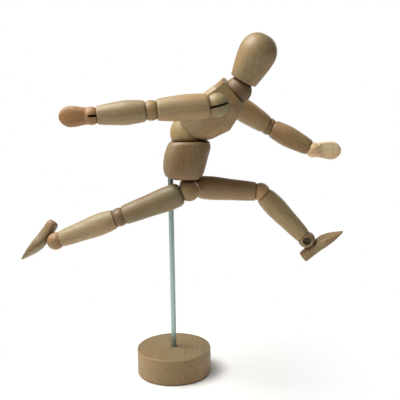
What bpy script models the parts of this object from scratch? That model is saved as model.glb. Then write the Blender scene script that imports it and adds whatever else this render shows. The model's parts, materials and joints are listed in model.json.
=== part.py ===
"""Jointed wooden artist mannequin on a rod and a round base, in a leaping pose.

Dimensions are in millimetres and are turned into metres when a mesh is made. +Z is up,
the figure faces +X, its left side is +Y, and the origin is the centre of the underside
of the base. Joints are slotted balls on steel pins, drawn together by springs.
"""

from math import acos, asin, cos, degrees, pi, radians, sin

import bmesh
import bpy
from mathutils import Matrix, Vector

MM = 0.001
UP, LEFT, FORWARD = Vector((0, 0, 1)), Vector((0, 1, 0)), Vector((1, 0, 0))

# ---------------------------------------------------------- shared dimensions
GAP = 0.15  # running clearance between a ball and its cup
OVERSHOOT = 2.0  # how far a bore's cutter stands out of the surface it opens
PEG_PLAY = 0.35  # extra radius of a peg's hole

PIN_R, PIN_HOLE = 0.6, 0.8
PIN_END_PLAY = 0.3  # a pin's hole is this much longer than the pin at each end
WAIST_EXTRA = 0.2  # the waist's pin, its hole and its slot's half width are larger by this
WIRE_R, SPRING_WIRE_R = 0.5, 0.35
BEAD = 1.7  # thickening of a spring's wire at a bead
SLOT_HALF, DOUBLE_SLOT_HALF = 0.8, 1.45
SLOT_CORE = 3.2
WIRE_OFFSET = 0.7  # the two wires of a knee or an elbow lie side by side
HOOK_AT = 12.6  # a wire ends this far from its ball's centre
HOOK_ROOM = 0.9  # from a hook's end to its spring
HOOK_SIDE = 0.9  # how far a hook steps sideways
LIMB_COIL_R = 1.9
STEM_BORE, SPRING_BORE = 1.5, 3.1

LIMB_STEPS, BALL_STEPS, BALL_RINGS = 14, 14, 8
SOCKET_STEPS, SOCKET_RINGS = 16, 10
HELIX_STEPS = 5  # points in one turn of a spring

# ----------------------------------------------------------------------- pose
# side is +1 for left, heading is +1 for a limb that reaches forward. A rise is an angle
# above the level and a swing an angle outwards, in degrees.
RIGHT_ARM = dict(side=-1, heading=-1, upper_rise=-3.7, upper_swing=8.0, fore_rise=-4.4,
                 fore_swing=8.0, hand_rise=-1.0, hand_swing=8.0, wrist_pin=UP)
LEFT_ARM = dict(side=1, heading=1, upper_rise=-32.5, upper_swing=19.0, fore_rise=-28.5,
                fore_swing=-13.0, hand_rise=-2.0, hand_swing=-13.0, wrist_pin=LEFT)
# twist turns the ankle's pin about the shin, roll turns the foot about its length
RIGHT_LEG = dict(side=-1, heading=-1, thigh_rise=-20.0, swing=1.5, shin_rise=-19.8,
                 foot_rise=-58.5, twist=25.0, roll=0.0)
LEFT_LEG = dict(side=1, heading=1, thigh_rise=-4.4, swing=-7.0, shin_rise=-46.4,
                foot_rise=39.5, twist=0.0, roll=16.0)
CHEST_BEND, CHEST_LEAN = 49.5, 10.0  # degrees forward and towards the right
HEAD_TILT = 28.3  # degrees forward of upright
SHOULDER_PLAY = 11.0  # degrees between the shoulder's slot and the arm, taken up in the bore

# ---------------------------------------------------------------------- scene
for old in list(bpy.data.objects):
    bpy.data.objects.remove(old, do_unlink=True)

parts = bpy.data.collections.new("artist_mannequin")
cutters = bpy.data.collections.new("cutters")
bpy.context.scene.collection.children.link(parts)
bpy.context.scene.collection.children.link(cutters)
cutters.hide_render = True

# ------------------------------------------------------------------ materials
WOOD, STEEL = (0.60, 0.40, 0.24), (0.55, 0.58, 0.57)
SHADE_LOW, SHADE_RANGE = 0.94, 0.12  # brightness of the darkest piece, and the spread
SHADE_STEP = 0.618034  # golden ratio step, so that neighbours differ


def principled(name, colour, roughness, metallic):
    material = bpy.data.materials.new(name)
    material.use_nodes = True
    shader = material.node_tree.nodes["Principled BSDF"]
    shader.inputs["Base Color"].default_value = (*colour, 1.0)
    shader.inputs["Roughness"].default_value = roughness
    shader.inputs["Metallic"].default_value = metallic
    return material


def steel_material(piece):
    return principled(piece + "_steel", STEEL, roughness=0.35, metallic=1.0)


def wood_material(piece):
    """Wood whose tone depends on how many pieces have been made so far."""
    shade = SHADE_LOW + SHADE_RANGE * ((len(parts.objects) * SHADE_STEP) % 1.0)
    colour = tuple(min(1.0, channel * shade) for channel in WOOD)
    return principled(piece + "_wood", colour, roughness=0.55, metallic=0.0)


MATERIALS = {"wood": wood_material, "steel": steel_material}


# ------------------------------------------------------------------ placement
def square_to(vector, axis):
    """The share of a vector that is square to a unit axis."""
    return vector - axis * vector.dot(axis)


def frame(origin, z_axis, y_axis):
    """A placement whose Z runs along z_axis and whose Y lies nearest to y_axis."""
    z = Vector(z_axis).normalized()
    y = square_to(Vector(y_axis), z)
    y.normalize()
    x = y.cross(z)
    matrix = Matrix((x, y, z)).transposed().to_4x4()
    matrix.translation = Vector(origin) * MM
    return matrix


def rotated(vector, axis, angle):
    return Matrix.Rotation(radians(angle), 3, axis) @ vector


def direction(heading, side, rise, swing):
    rise, swing = radians(rise), radians(swing)
    return Vector((heading * cos(rise) * cos(swing), side * sin(swing), sin(rise) * cos(swing)))


def place(obj, matrix, kind=None):
    """Puts a piece of "wood" or "steel" in the scene, or a hidden Boolean helper."""
    (parts if kind else cutters).objects.link(obj)
    obj.matrix_world = matrix
    if kind:
        obj.data.materials.append(MATERIALS[kind](obj.name))
    else:
        obj.hide_render = True
        obj.display_type = "WIRE"
    return obj


# --------------------------------------------------------------------- solids
def from_bmesh(name, shape, matrix, kind=None, smooth=35.0):
    """smooth is the angle in degrees above which an edge stays sharp."""
    bmesh.ops.recalc_face_normals(shape, faces=shape.faces)
    for vert in shape.verts:
        vert.co *= MM
    mesh = bpy.data.meshes.new(name)
    shape.to_mesh(mesh)
    shape.free()
    obj = place(bpy.data.objects.new(name, mesh), matrix, kind)
    if kind:
        mesh.shade_smooth()
        mesh.set_sharp_from_angle(angle=radians(smooth))
    return obj


def turned(name, profile, steps, matrix):
    """A lathe-turned wooden piece from (radius, height) points. A profile that stays
    clear of the axis is closed into a loop."""
    closed = min(radius for radius, _ in profile) > 1e-6
    count = len(profile)
    edges = [(i, i + 1) for i in range(count - 1)] + ([(count - 1, 0)] if closed else [])
    mesh = bpy.data.meshes.new(name)
    mesh.from_pydata([(radius * MM, 0.0, z * MM) for radius, z in profile], edges, [])
    obj = place(bpy.data.objects.new(name, mesh), matrix, "wood")
    screw = obj.modifiers.new("turn", "SCREW")
    screw.axis = "Z"
    screw.angle = 2 * pi
    screw.steps = screw.render_steps = steps
    screw.use_merge_vertices = True
    screw.merge_threshold = 0.00001
    screw.use_smooth_shade = True
    return obj


def arc(radius, centre, start, end, step):
    """Points of a circle about (0, centre); angles in degrees from the +Z pole."""
    count = max(1, int(abs(end - start) / step + 0.999))
    angles = [radians(start + (end - start) * i / count) for i in range(count + 1)]
    return [(radius * sin(angle), centre + radius * cos(angle)) for angle in angles]


def cylinder(name, radius, low, high, matrix, kind=None, segments=12):
    shape = bmesh.new()
    bmesh.ops.create_cone(
        shape, cap_ends=True, segments=segments, radius1=radius, radius2=radius,
        depth=high - low, matrix=Matrix.Translation((0, 0, (low + high) / 2)),
    )
    return from_bmesh(name, shape, matrix, kind)


def cross_cylinder(name, radius, low, high, matrix, kind=None, segments=12):
    """A cylinder along the placement's Y."""
    turned_matrix = matrix @ Matrix.Rotation(-pi / 2, 4, "X")
    return cylinder(name, radius, low, high, turned_matrix, kind, segments)


def sphere(name, radius, matrix, kind=None, steps=BALL_STEPS, rings=BALL_RINGS):
    shape = bmesh.new()
    bmesh.ops.create_uvsphere(shape, u_segments=steps, v_segments=rings, radius=radius)
    return from_bmesh(name, shape, matrix, kind, smooth=60.0)


def hollow(radius, steps, rings=12):
    """Radius for a faceted spherical cup that clears a ball of this radius."""
    return (radius + GAP) / (cos(pi / steps) * cos(pi / (2 * rings)))


def socket(name, ball_radius, matrix, steps=SOCKET_STEPS, rings=SOCKET_RINGS):
    """The cutter for a cup round a ball."""
    return sphere(name, hollow(ball_radius, steps, rings), matrix, None, steps, rings)


def prism(name, outline, half, matrix):
    """An outline in the XZ plane, drawn out along Y to both sides."""
    shape = bmesh.new()
    face = shape.faces.new([shape.verts.new((x, -half, z)) for x, z in outline])
    made = bmesh.ops.extrude_face_region(shape, geom=[face])
    bmesh.ops.translate(
        shape, vec=(0, 2 * half, 0),
        verts=[item for item in made["geom"] if isinstance(item, bmesh.types.BMVert)],
    )
    return from_bmesh(name, shape, matrix)


def loft(name, rings, matrix, kind=None, smooth=35.0):
    """A skin over rings of equally many points, closed by a flat face at each end."""
    shape = bmesh.new()
    loops = [[shape.verts.new(point) for point in ring] for ring in rings]
    count = len(loops[0])
    for low, high in zip(loops, loops[1:]):
        for i in range(count):
            j = (i + 1) % count
            shape.faces.new((low[i], low[j], high[j], high[i]))
    shape.faces.new(loops[0])
    shape.faces.new(loops[-1])
    return from_bmesh(name, shape, matrix, kind, smooth)


def oval(half_x, half_y, z, count, power, centre_x=0.0):
    """A superellipse ring in a plane of constant Z."""
    ring = []
    for i in range(count):
        angle = 2 * pi * (i + 0.5) / count
        across, along = cos(angle), sin(angle)
        ring.append((
            centre_x + half_x * abs(across) ** (2 / power) * (1 if across > 0 else -1),
            half_y * abs(along) ** (2 / power) * (1 if along > 0 else -1),
            z,
        ))
    return ring


def combine(obj, tool, prefix, operation):
    boolean = obj.modifiers.new(prefix + tool.name, "BOOLEAN")
    boolean.operation = operation
    boolean.solver = "EXACT"
    boolean.object = tool


def cut(obj, *tools):
    for tool in tools:
        combine(obj, tool, "cut_", "DIFFERENCE")


def join(obj, tool):
    combine(obj, tool, "join_", "UNION")


# ---------------------------------------------------------- wires and springs
def wire(name, points, radius, matrix, kind=None, scales=None, sides=1):
    """A capped wire along points; scales are its thickness at each point and sides
    the curve's bevel resolution."""
    curve = bpy.data.curves.new(name, "CURVE")
    curve.dimensions = "3D"
    curve.bevel_depth = radius * MM
    curve.bevel_resolution = sides
    curve.use_fill_caps = True
    spline = curve.splines.new("POLY")
    spline.points.add(len(points) - 1)
    for i, (target, point) in enumerate(zip(spline.points, points)):
        target.co = (point[0] * MM, point[1] * MM, point[2] * MM, 1.0)
        target.radius = scales[i] if scales else 1.0
    return place(bpy.data.objects.new(name, curve), matrix, kind)


def wire_mesh(name, points, radius, matrix):
    """A wire as a welded mesh helper, fit for a Boolean."""
    source = wire(name + "_path", points, radius, matrix)
    bpy.context.view_layer.update()
    graph = bpy.context.evaluated_depsgraph_get()
    mesh = bpy.data.meshes.new_from_object(source.evaluated_get(graph))
    mesh.name = name
    shape = bmesh.new()
    shape.from_mesh(mesh)
    bmesh.ops.remove_doubles(shape, verts=shape.verts, dist=1e-6)
    bmesh.ops.recalc_face_normals(shape, faces=shape.faces)
    shape.to_mesh(mesh)
    shape.free()
    bpy.data.objects.remove(source, do_unlink=True)
    return place(bpy.data.objects.new(name, mesh), matrix)


def helix(radius, low, high, turns, start=0.0):
    count = turns * HELIX_STEPS
    return [
        (radius * cos(start + 2 * pi * i / HELIX_STEPS),
         radius * sin(start + 2 * pi * i / HELIX_STEPS),
         low + (high - low) * i / count)
        for i in range(count + 1)
    ]


def coil_spring(name, low, high, turns, matrix, radius=LIMB_COIL_R, wire_radius=SPRING_WIRE_R):
    wire(name, helix(radius, low, high, turns), wire_radius, matrix, "steel", sides=0)


# --------------------------------------------------------------- links, slots
def riveted_link(name, pin_half, points, matrix, pin_radius=PIN_R, wire_radius=WIRE_R):
    """A steel wire riveted to its cross pin, which lies on the placement's Y."""
    link = cross_cylinder(name, pin_radius, -pin_half, pin_half, matrix, "steel", segments=8)
    join(link, wire_mesh(name + "_wire", points, wire_radius, matrix))


def hook_end(toward, length, offset):
    """The last points of a wire that ends in a hook, towards +Z (1) or -Z (-1)."""
    return [
        (0, offset, toward * (length - 1.6)),
        (HOOK_SIDE, offset, toward * (length - 0.5)),
        (HOOK_SIDE, offset, toward * length),
    ]


def hook_link(name, pin_half, toward, length, matrix, offset=0.0):
    points = [(0, offset, 0)] + hook_end(toward, length, offset)
    riveted_link(name, pin_half, points, matrix)


def stem_link(name, pin_half, length, matrix, pin_radius=PIN_R):
    """A riveted link whose far end is bent over the outer end of a coil spring."""
    bent = length + 0.6
    points = [(0, 0, 0), (0, 0, length - 1.5), (0, 0, length), (1.3, 0, bent), (2.4, 0, bent)]
    riveted_link(name, pin_half, points, matrix, pin_radius, WIRE_R + 0.1)


EYE_START, EYE_TURN, EYE_STEP = 25, 320, 35  # degrees about the pin


def eye_link(name, toward, length, matrix, offset):
    """A steel wire bent to an eye round the pin, with a hook at its other end."""
    eye = PIN_R + WIRE_R + 0.25
    points = [
        (eye * sin(radians(angle)), offset, toward * eye * cos(radians(angle)))
        for angle in range(EYE_START, EYE_START + EYE_TURN + 1, EYE_STEP)
    ]
    points += [(0.0, offset, toward * (eye + 1.3))] + hook_end(toward, length, offset)
    wire(name, points, WIRE_R - 0.05, matrix, "steel")


def sector_slot(name, matrix, half, reach, *windows, core=SLOT_CORE):
    """A slot across the pin: a round core and one window for each wire, as
    (middle, half angle) in degrees from +Z towards +X."""
    outline = []
    edges = sorted((middle - spread, middle + spread) for middle, spread in windows)
    following = [start for start, _ in edges[1:]] + [edges[0][0] + 360]
    for (start, end), next_start in zip(edges, following):
        outline += arc(reach, 0, start, end, 25)
        outline += arc(core, 0, end, next_start, 40)
    return prism(name, outline, half, matrix)


def pin_hole(name, half, matrix, radius=PIN_HOLE, segments=10):
    return cross_cylinder(name, radius, -half, half, matrix, segments=segments)


def swivel_ball(joint, tag, radius, pin_half, spread, matrix):
    """A shoulder or hip ball, slotted round +Z, with a spring's stem entering from -Z."""
    ball = sphere(joint + "_ball" + tag, radius, matrix, "wood")
    cut(ball,
        sector_slot(joint + "_slot" + tag, matrix, SLOT_HALF, 12, (0.0, spread)),
        pin_hole(joint + "_pin_hole" + tag, pin_half + PIN_END_PLAY, matrix),
        cylinder(joint + "_swivel_hole" + tag, 0.55, -6.0, -1.0, matrix, segments=8),
        cylinder(joint + "_stem_bore" + tag, 1.4, -11.0, -5.2, matrix, segments=8))


HINGE_PIN_HALF, HINGE_REACH = 5.0, 10


def double_hinge(joint, tag, radius, spread, ball_frame, upper_frame, lower_frame):
    """An elbow or knee: a ball slotted at both poles and the two links on its pin."""
    ball = sphere(joint + "_ball" + tag, radius, ball_frame, "wood")
    cut(ball,
        sector_slot(joint + "_slot" + tag, ball_frame, DOUBLE_SLOT_HALF, HINGE_REACH,
                    (0, spread), (180, spread)),
        pin_hole(joint + "_pin_hole" + tag, HINGE_PIN_HALF + PIN_END_PLAY, ball_frame))
    hook_link(joint + "_upper_link" + tag, HINGE_PIN_HALF, -1, HOOK_AT, upper_frame, WIRE_OFFSET)
    eye_link(joint + "_lower_link" + tag, 1, HOOK_AT, lower_frame, -WIRE_OFFSET)


def limb(name, length, bore, ends, outline, matrix):
    """A turned, bored segment. Each end is (ball radius, ball centre to wooden end,
    radius where the bore meets the cup, ball centre to where it narrows); the outline
    is (fraction of the wooden length, radius)."""
    (near_ball, near_plane, near_mouth, near_bore), (far_ball, far_plane, far_mouth, far_bore) = ends
    low, high = near_plane, length - far_plane
    outer = [(radius, low + (high - low) * fraction) for fraction, radius in outline]
    near_cup, far_cup = hollow(near_ball, LIMB_STEPS), hollow(far_ball, LIMB_STEPS)
    near = arc(near_cup, 0, degrees(asin(near_mouth / near_cup)),
               degrees(acos(near_plane / near_cup)), 15)
    far = arc(far_cup, length, 180 - degrees(acos(far_plane / far_cup)),
              180 - degrees(asin(far_mouth / far_cup)), 15)
    inner = [(bore, near_bore), (bore, length - far_bore)]
    turned(name, outer[::-1] + near[::-1] + inner + far[::-1], LIMB_STEPS, matrix)


# --------------------------------------------------------------- base and rod
BASE_R, BASE_H, BASE_EDGE = 31.5, 22.0, 1.2
EDGE_MIDDLE = 0.35 * BASE_EDGE  # inset of the middle point of the rounded upper edge
ROD_R, ROD_SINK, ROD_RISE = 2.2, 15.0, 18.0  # radius, depth in the base and in the pelvis
ROD_PLAY = 0.3  # extra radius and depth of the rod's holes
ROD_HOLE_R, ROD_HOLE_FLOOR = ROD_R + ROD_PLAY, BASE_H - ROD_SINK
PELVIS_BOTTOM = 168.0
UPRIGHT = frame((0, 0, 0), UP, LEFT)


def make_base():
    turned("base_disc", [
        (0, ROD_HOLE_FLOOR), (ROD_HOLE_R, ROD_HOLE_FLOOR), (ROD_HOLE_R, BASE_H),
        (BASE_R - BASE_EDGE, BASE_H), (BASE_R - EDGE_MIDDLE, BASE_H - EDGE_MIDDLE),
        (BASE_R, BASE_H - BASE_EDGE), (BASE_R, BASE_EDGE), (BASE_R - BASE_EDGE, 0), (0, 0),
    ], 28, UPRIGHT)
    cylinder("support_rod", ROD_R, ROD_HOLE_FLOOR + ROD_PLAY,
             PELVIS_BOTTOM + ROD_RISE - ROD_PLAY, UPRIGHT, "steel")


# --------------------------------------------------------------------- pelvis
PELVIS_HALF_WIDTH = 24.0
# (height above its underside, back, front, share of the half width)
PELVIS_SECTIONS = (
    (0.0, 2.0, 24.0, 0.80), (1.1, -1.4, 25.6, 0.89), (3.8, -4.4, 27.4, 0.96),
    (10.0, -5.5, 29.4, 1.0), (18.0, -4.7, 31.6, 0.99), (25.2, -2.5, 33.4, 0.95),
    (28.8, -0.6, 33.0, 0.91), (30.1, 1.2, 31.0, 0.86),
)
PELVIS_TOP = PELVIS_BOTTOM + PELVIS_SECTIONS[-1][0]
WAIST = Vector((16.5, 0.0, 204.8))
WAIST_R, WAIST_FLAT = 16.0, 6.2  # the ball is cut flat this far below its centre
WAIST_PEG_R, WAIST_PEG = 4.0, 9.0
WAIST_PEG_END_PLAY = 0.8


def make_pelvis():
    rings = [
        oval((front - back) / 2, PELVIS_HALF_WIDTH * width, PELVIS_BOTTOM + up, 20, 3.2,
             (front + back) / 2)
        for up, back, front, width in PELVIS_SECTIONS
    ]
    pelvis = loft("pelvis", rings, UPRIGHT, "wood", smooth=30)
    cut(pelvis,
        cylinder("rod_hole", ROD_HOLE_R, PELVIS_BOTTOM - OVERSHOOT, PELVIS_BOTTOM + ROD_RISE,
                 UPRIGHT, segments=16),
        cylinder("waist_peg_hole", WAIST_PEG_R + PEG_PLAY,
                 PELVIS_TOP - WAIST_PEG - WAIST_PEG_END_PLAY, PELVIS_TOP + OVERSHOOT,
                 frame((WAIST.x, 0, 0), UP, LEFT), segments=18))
    return pelvis


# ----------------------------------------------------------------- waist ball
CHEST_FRONT = rotated(FORWARD, LEFT, CHEST_BEND)
CHEST_UP = rotated(rotated(UP, LEFT, CHEST_BEND), CHEST_FRONT, CHEST_LEAN)
CHEST_LEFT = CHEST_UP.cross(CHEST_FRONT)
# the slot of the waist ball lies in the upright plane that holds the chest's axis
WAIST_PIN = UP.cross(CHEST_UP).normalized()
WAIST_PIN_HALF = 8.0
WAIST_LINK = 27.2


def make_waist_ball():
    matrix = frame(WAIST, UP, WAIST_PIN)
    peg_end = -WAIST_FLAT - WAIST_PEG
    profile = arc(WAIST_R, 0, 0, degrees(acos(-WAIST_FLAT / WAIST_R)), 11)
    profile += [(WAIST_PEG_R, -WAIST_FLAT), (WAIST_PEG_R, peg_end), (0, peg_end)]
    ball = turned("waist_ball", profile, 18, matrix)
    cut(ball,
        sector_slot("waist_slot", matrix, SLOT_HALF + WAIST_EXTRA, 20, (5.0, 62.0)),
        pin_hole("waist_pin_hole", WAIST_PIN_HALF + PIN_END_PLAY, matrix, PIN_HOLE + WAIST_EXTRA))
    stem_link("waist_link", WAIST_PIN_HALF, WAIST_LINK, frame(WAIST, CHEST_UP, WAIST_PIN),
              PIN_R + WAIST_EXTRA)


# ---------------------------------------------------------------------- chest
# local Z is the chest's axis, local X its front and local Y its left side
CHEST_FRAME = frame(WAIST, CHEST_UP, CHEST_LEFT)
# along the axis from the waist ball: (up, back, front, half width, depth of the front
# bevel, how far in from the side the front bevel reaches)
CHEST_SECTIONS = (
    (3.4, -17.4, 8.4, 16.4, 4.0, 4.6),
    (7.4, -17.6, 12.0, 17.6, 4.8, 5.2),
    (13.0, -17.5, 15.0, 19.0, 5.6, 5.8),
    (28.6, -16.7, 19.0, 21.4, 7.0, 7.0),
    (38.2, -15.8, 16.2, 22.3, 8.5, 8.0),
    (42.6, -15.2, 14.2, 22.2, 9.0, 8.6),
    (49.1, -15.4, 11.4, 14.6, 6.0, 5.0),
    (49.7, -14.8, 10.6, 13.6, 5.4, 4.6),
)
BACK_BEVEL, BACK_BEVEL_IN = 3.0, 3.4
SHOULDER_UP, SHOULDER_BACK, SHOULDER_OUT = 36.2, 2.8, 29.0
SHOULDER_MID = WAIST + CHEST_UP * SHOULDER_UP - CHEST_FRONT * SHOULDER_BACK
CROSS_FRAME = frame(SHOULDER_MID, CHEST_LEFT, CHEST_UP)
CROSS_BORE = 2.7
NECK_UP, NECK_R = 52.4, 10.9
NECK_PEG_R, NECK_PEG_END = 3.5, 12.5
NECK_PEG_END_PLAY = 0.4
NECK = WAIST + CHEST_UP * NECK_UP
NECK_FRAME = frame(NECK, CHEST_UP, CHEST_LEFT)


def chest_ring(up, back, front, half, bevel, bevel_in):
    """An eight-sided section, mirrored from its left half."""
    left = [
        (front, half - bevel_in, up), (front - bevel, half, up),
        (back + BACK_BEVEL, half, up), (back, half - BACK_BEVEL_IN, up),
    ]
    return left + [(x, -y, z) for x, y, z in reversed(left)]


def make_chest():
    chest = loft("chest", [chest_ring(*section) for section in CHEST_SECTIONS],
                 CHEST_FRAME, "wood", smooth=20)
    cut(chest,
        socket("waist_socket", WAIST_R, CHEST_FRAME),
        socket("neck_socket", NECK_R, NECK_FRAME),
        cylinder("waist_stem_bore", STEM_BORE, 10, 22, CHEST_FRAME, segments=10),
        cylinder("waist_spring_bore", SPRING_BORE + 0.5, 19.5, 32, CHEST_FRAME, segments=14),
        cylinder("neck_peg_bore", NECK_PEG_R + PEG_PLAY, -NECK_PEG_END - NECK_PEG_END_PLAY, 0,
                 NECK_FRAME),
        cylinder("cross_bore", CROSS_BORE, -SHOULDER_OUT, SHOULDER_OUT, CROSS_FRAME))
    coil_spring("waist_spring", 20.1, 26.4, 3, CHEST_FRAME, radius=2.5, wire_radius=0.4)
    return chest


# -------------------------------------------------------------- neck and head
# the head nods about the pin of the neck ball, so its axis stays square to that pin
HEAD_UP = square_to(rotated(UP, LEFT, HEAD_TILT), CHEST_LEFT).normalized()
HEAD_FRAME = frame(NECK, HEAD_UP, CHEST_LEFT)
HEAD_STEPS = 18
HEAD_SEAT, HEAD_LENGTH = 8.6, 39.0  # underside from the neck ball's centre, and height
HEAD_BASE_R, HEAD_R = 10.8, 15.0
HEAD_WIDEST = HEAD_LENGTH * 0.62  # height above the underside where the dome begins
DOME_POWER, DOME_SPANS = 0.86, 5
JAW_FRACTIONS = (0.8, 0.5, 0.03)  # shares of the height below the dome
HEAD_RIM = 0.7
HEAD_BORE_LOW, HEAD_BORE_TOP = 13.8, 26.0
NECK_PIN_HALF, NECK_LINK = 5.9, 22.0


def make_neck():
    profile = arc(NECK_R, 0, 0, 161.0, 15) + [(NECK_PEG_R, -NECK_PEG_END), (0, -NECK_PEG_END)]
    ball = turned("neck_ball", profile, 16, NECK_FRAME)
    cut(ball,
        sector_slot("neck_slot", NECK_FRAME, SLOT_HALF, 14, (-8.0, 62.0)),
        pin_hole("neck_pin_hole", NECK_PIN_HALF + PIN_END_PLAY, NECK_FRAME))
    stem_link("neck_link", NECK_PIN_HALF, NECK_LINK, HEAD_FRAME)


def make_head():
    """An egg with a cup over the neck ball and a stepped bore for the spring."""
    profile = []
    for i in range(DOME_SPANS + 1):
        angle = radians(90.0 * i / DOME_SPANS)
        profile.append((HEAD_R * sin(angle) ** DOME_POWER,
                        HEAD_SEAT + HEAD_WIDEST + (HEAD_LENGTH - HEAD_WIDEST) * cos(angle)))
    for share in JAW_FRACTIONS:
        swell = 1.3 * share - 0.3 * share ** 4
        profile.append((HEAD_BASE_R + (HEAD_R - HEAD_BASE_R) * swell,
                        HEAD_SEAT + HEAD_WIDEST * share))
    profile.append((HEAD_BASE_R - HEAD_RIM, HEAD_SEAT))
    cup = hollow(NECK_R, HEAD_STEPS)
    profile += arc(cup, 0, degrees(acos(HEAD_SEAT / cup)), degrees(asin(STEM_BORE / cup)), 14)
    profile += [(STEM_BORE, HEAD_BORE_LOW), (SPRING_BORE, HEAD_BORE_LOW),
                (SPRING_BORE, HEAD_BORE_TOP), (0, HEAD_BORE_TOP)]
    turned("head", profile, HEAD_STEPS, HEAD_FRAME)
    coil_spring("neck_spring", 14.4, 21.3, 3, HEAD_FRAME, radius=2.2, wire_radius=0.38)


# ----------------------------------------------------------------------- arms
UPPER_BORE, LOWER_BORE = 2.8, 2.9  # upper arms and thighs, forearms and shins
BORE_START = 9.0  # from a ball's centre to the straight bore
UPPER_ARM, FOREARM = 50.0, 44.0  # joint centre to joint centre
SHOULDER_R, SHOULDER_PLANE = 9.3, 6.2
SHOULDER_PIN_HALF, SHOULDER_HOOK = 5.4, 12.8
ELBOW_R, ELBOW_PLANE = 7.7, 4.45
WRIST_R, WRIST_PLANE = 6.75, 4.0
WRIST_PIN_HALF, WRIST_HOOK = 4.6, 11.2
STRAIGHT = radians(3)  # an elbow bent less than this counts as straight
UPPER_ARM_SPRING_START = 16.4
UPPER_ARM_ENDS = ((SHOULDER_R, SHOULDER_PLANE, 4.1, 14.5),
                  (ELBOW_R, ELBOW_PLANE, UPPER_BORE, BORE_START))
FOREARM_ENDS = ((ELBOW_R, ELBOW_PLANE, LOWER_BORE, BORE_START),
                (WRIST_R, WRIST_PLANE, 4.5, 11.5))
# (fraction of the wooden length, radius)
UPPER_ARM_OUTLINE = ((0, 7.7), (0.05, 9.2), (0.12, 9.6), (0.4, 10.05), (0.72, 9.3),
                     (0.97, 8.2), (1, 7.9))
FOREARM_OUTLINE = ((0, 7.6), (0.04, 8.0), (0.2, 8.75), (0.4, 9.2), (0.66, 8.4),
                   (0.97, 6.9), (1, 6.6))
HAND_HALF_WIDTH, HAND_HALF_THICK = 7.9, 4.8
PALM_FLAT = 2.3  # the palm is planed flat this far inward of the hand's axis
PALM_START = 7  # the planing begins beyond this distance from the ball's centre
# (distance from the ball's centre, share of the half width, share of the half thickness)
HAND_SECTIONS = (
    (1.5, 0.78, 0.96), (4.5, 0.81, 0.98), (8.0, 0.88, 1.0), (12.0, 0.97, 1.0),
    (16.0, 0.99, 0.90), (19.6, 0.83, 0.70), (22.4, 0.49, 0.42), (23.6, 0.20, 0.22),
)


def make_shoulder(chest, tag, side, heading, shoulder, arm_dir):
    outward = CHEST_LEFT * side
    # the slot holds the outward pole and lies near the arm's axis
    pin = rotated(arm_dir.cross(outward).normalized(), outward, SHOULDER_PLAY * side * heading)
    ball_frame = frame(shoulder, outward, pin)
    swivel_ball("shoulder", tag, SHOULDER_R, SHOULDER_PIN_HALF, 84.0, ball_frame)
    cut(chest, socket("shoulder_socket" + tag, SHOULDER_R, ball_frame))
    link_dir = square_to(arm_dir, pin).normalized()
    hook_link("shoulder_link" + tag, SHOULDER_PIN_HALF, 1, SHOULDER_HOOK,
              frame(shoulder, link_dir, pin))


def make_hand(tag, side, wrist, fore_dir, hand_dir, wrist_pin):
    """A ball and palm in one; the flat palm faces the figure's middle, the back is rounded."""
    wrist_frame = frame(wrist, hand_dir, wrist_pin)
    hand = sphere("hand" + tag, WRIST_R, wrist_frame, "wood")
    # the palm's own placement: local X towards the back of the hand, local Y across it
    palm_frame = frame(wrist, hand_dir, hand_dir.cross(LEFT * side))
    rings = []
    for along, width, thick in HAND_SECTIONS:
        ring = oval(HAND_HALF_THICK * thick, HAND_HALF_WIDTH * width, along, 10, 2.2)
        if along > PALM_START:
            flat = -PALM_FLAT * min(1.0, thick + 0.1)
            ring = [(max(x, flat), y, z) for x, y, z in ring]
        rings.append(ring)
    join(hand, loft("palm" + tag, rings, palm_frame))
    cut(hand,
        sector_slot("wrist_slot" + tag, wrist_frame, SLOT_HALF, 9, (180, 112), core=2.2),
        pin_hole("wrist_pin_hole" + tag, WRIST_PIN_HALF + PIN_END_PLAY, wrist_frame))
    # beyond the ball this link bends back to the middle of the forearm's bore
    back = wrist_frame.to_3x3().transposed() @ (-fore_dir)
    path = [(0, 0, 0), (0, 0, -WRIST_R - 0.1), back * (WRIST_HOOK - 1.0), back * WRIST_HOOK]
    riveted_link("wrist_link" + tag, WRIST_PIN_HALF, path, wrist_frame)


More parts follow.
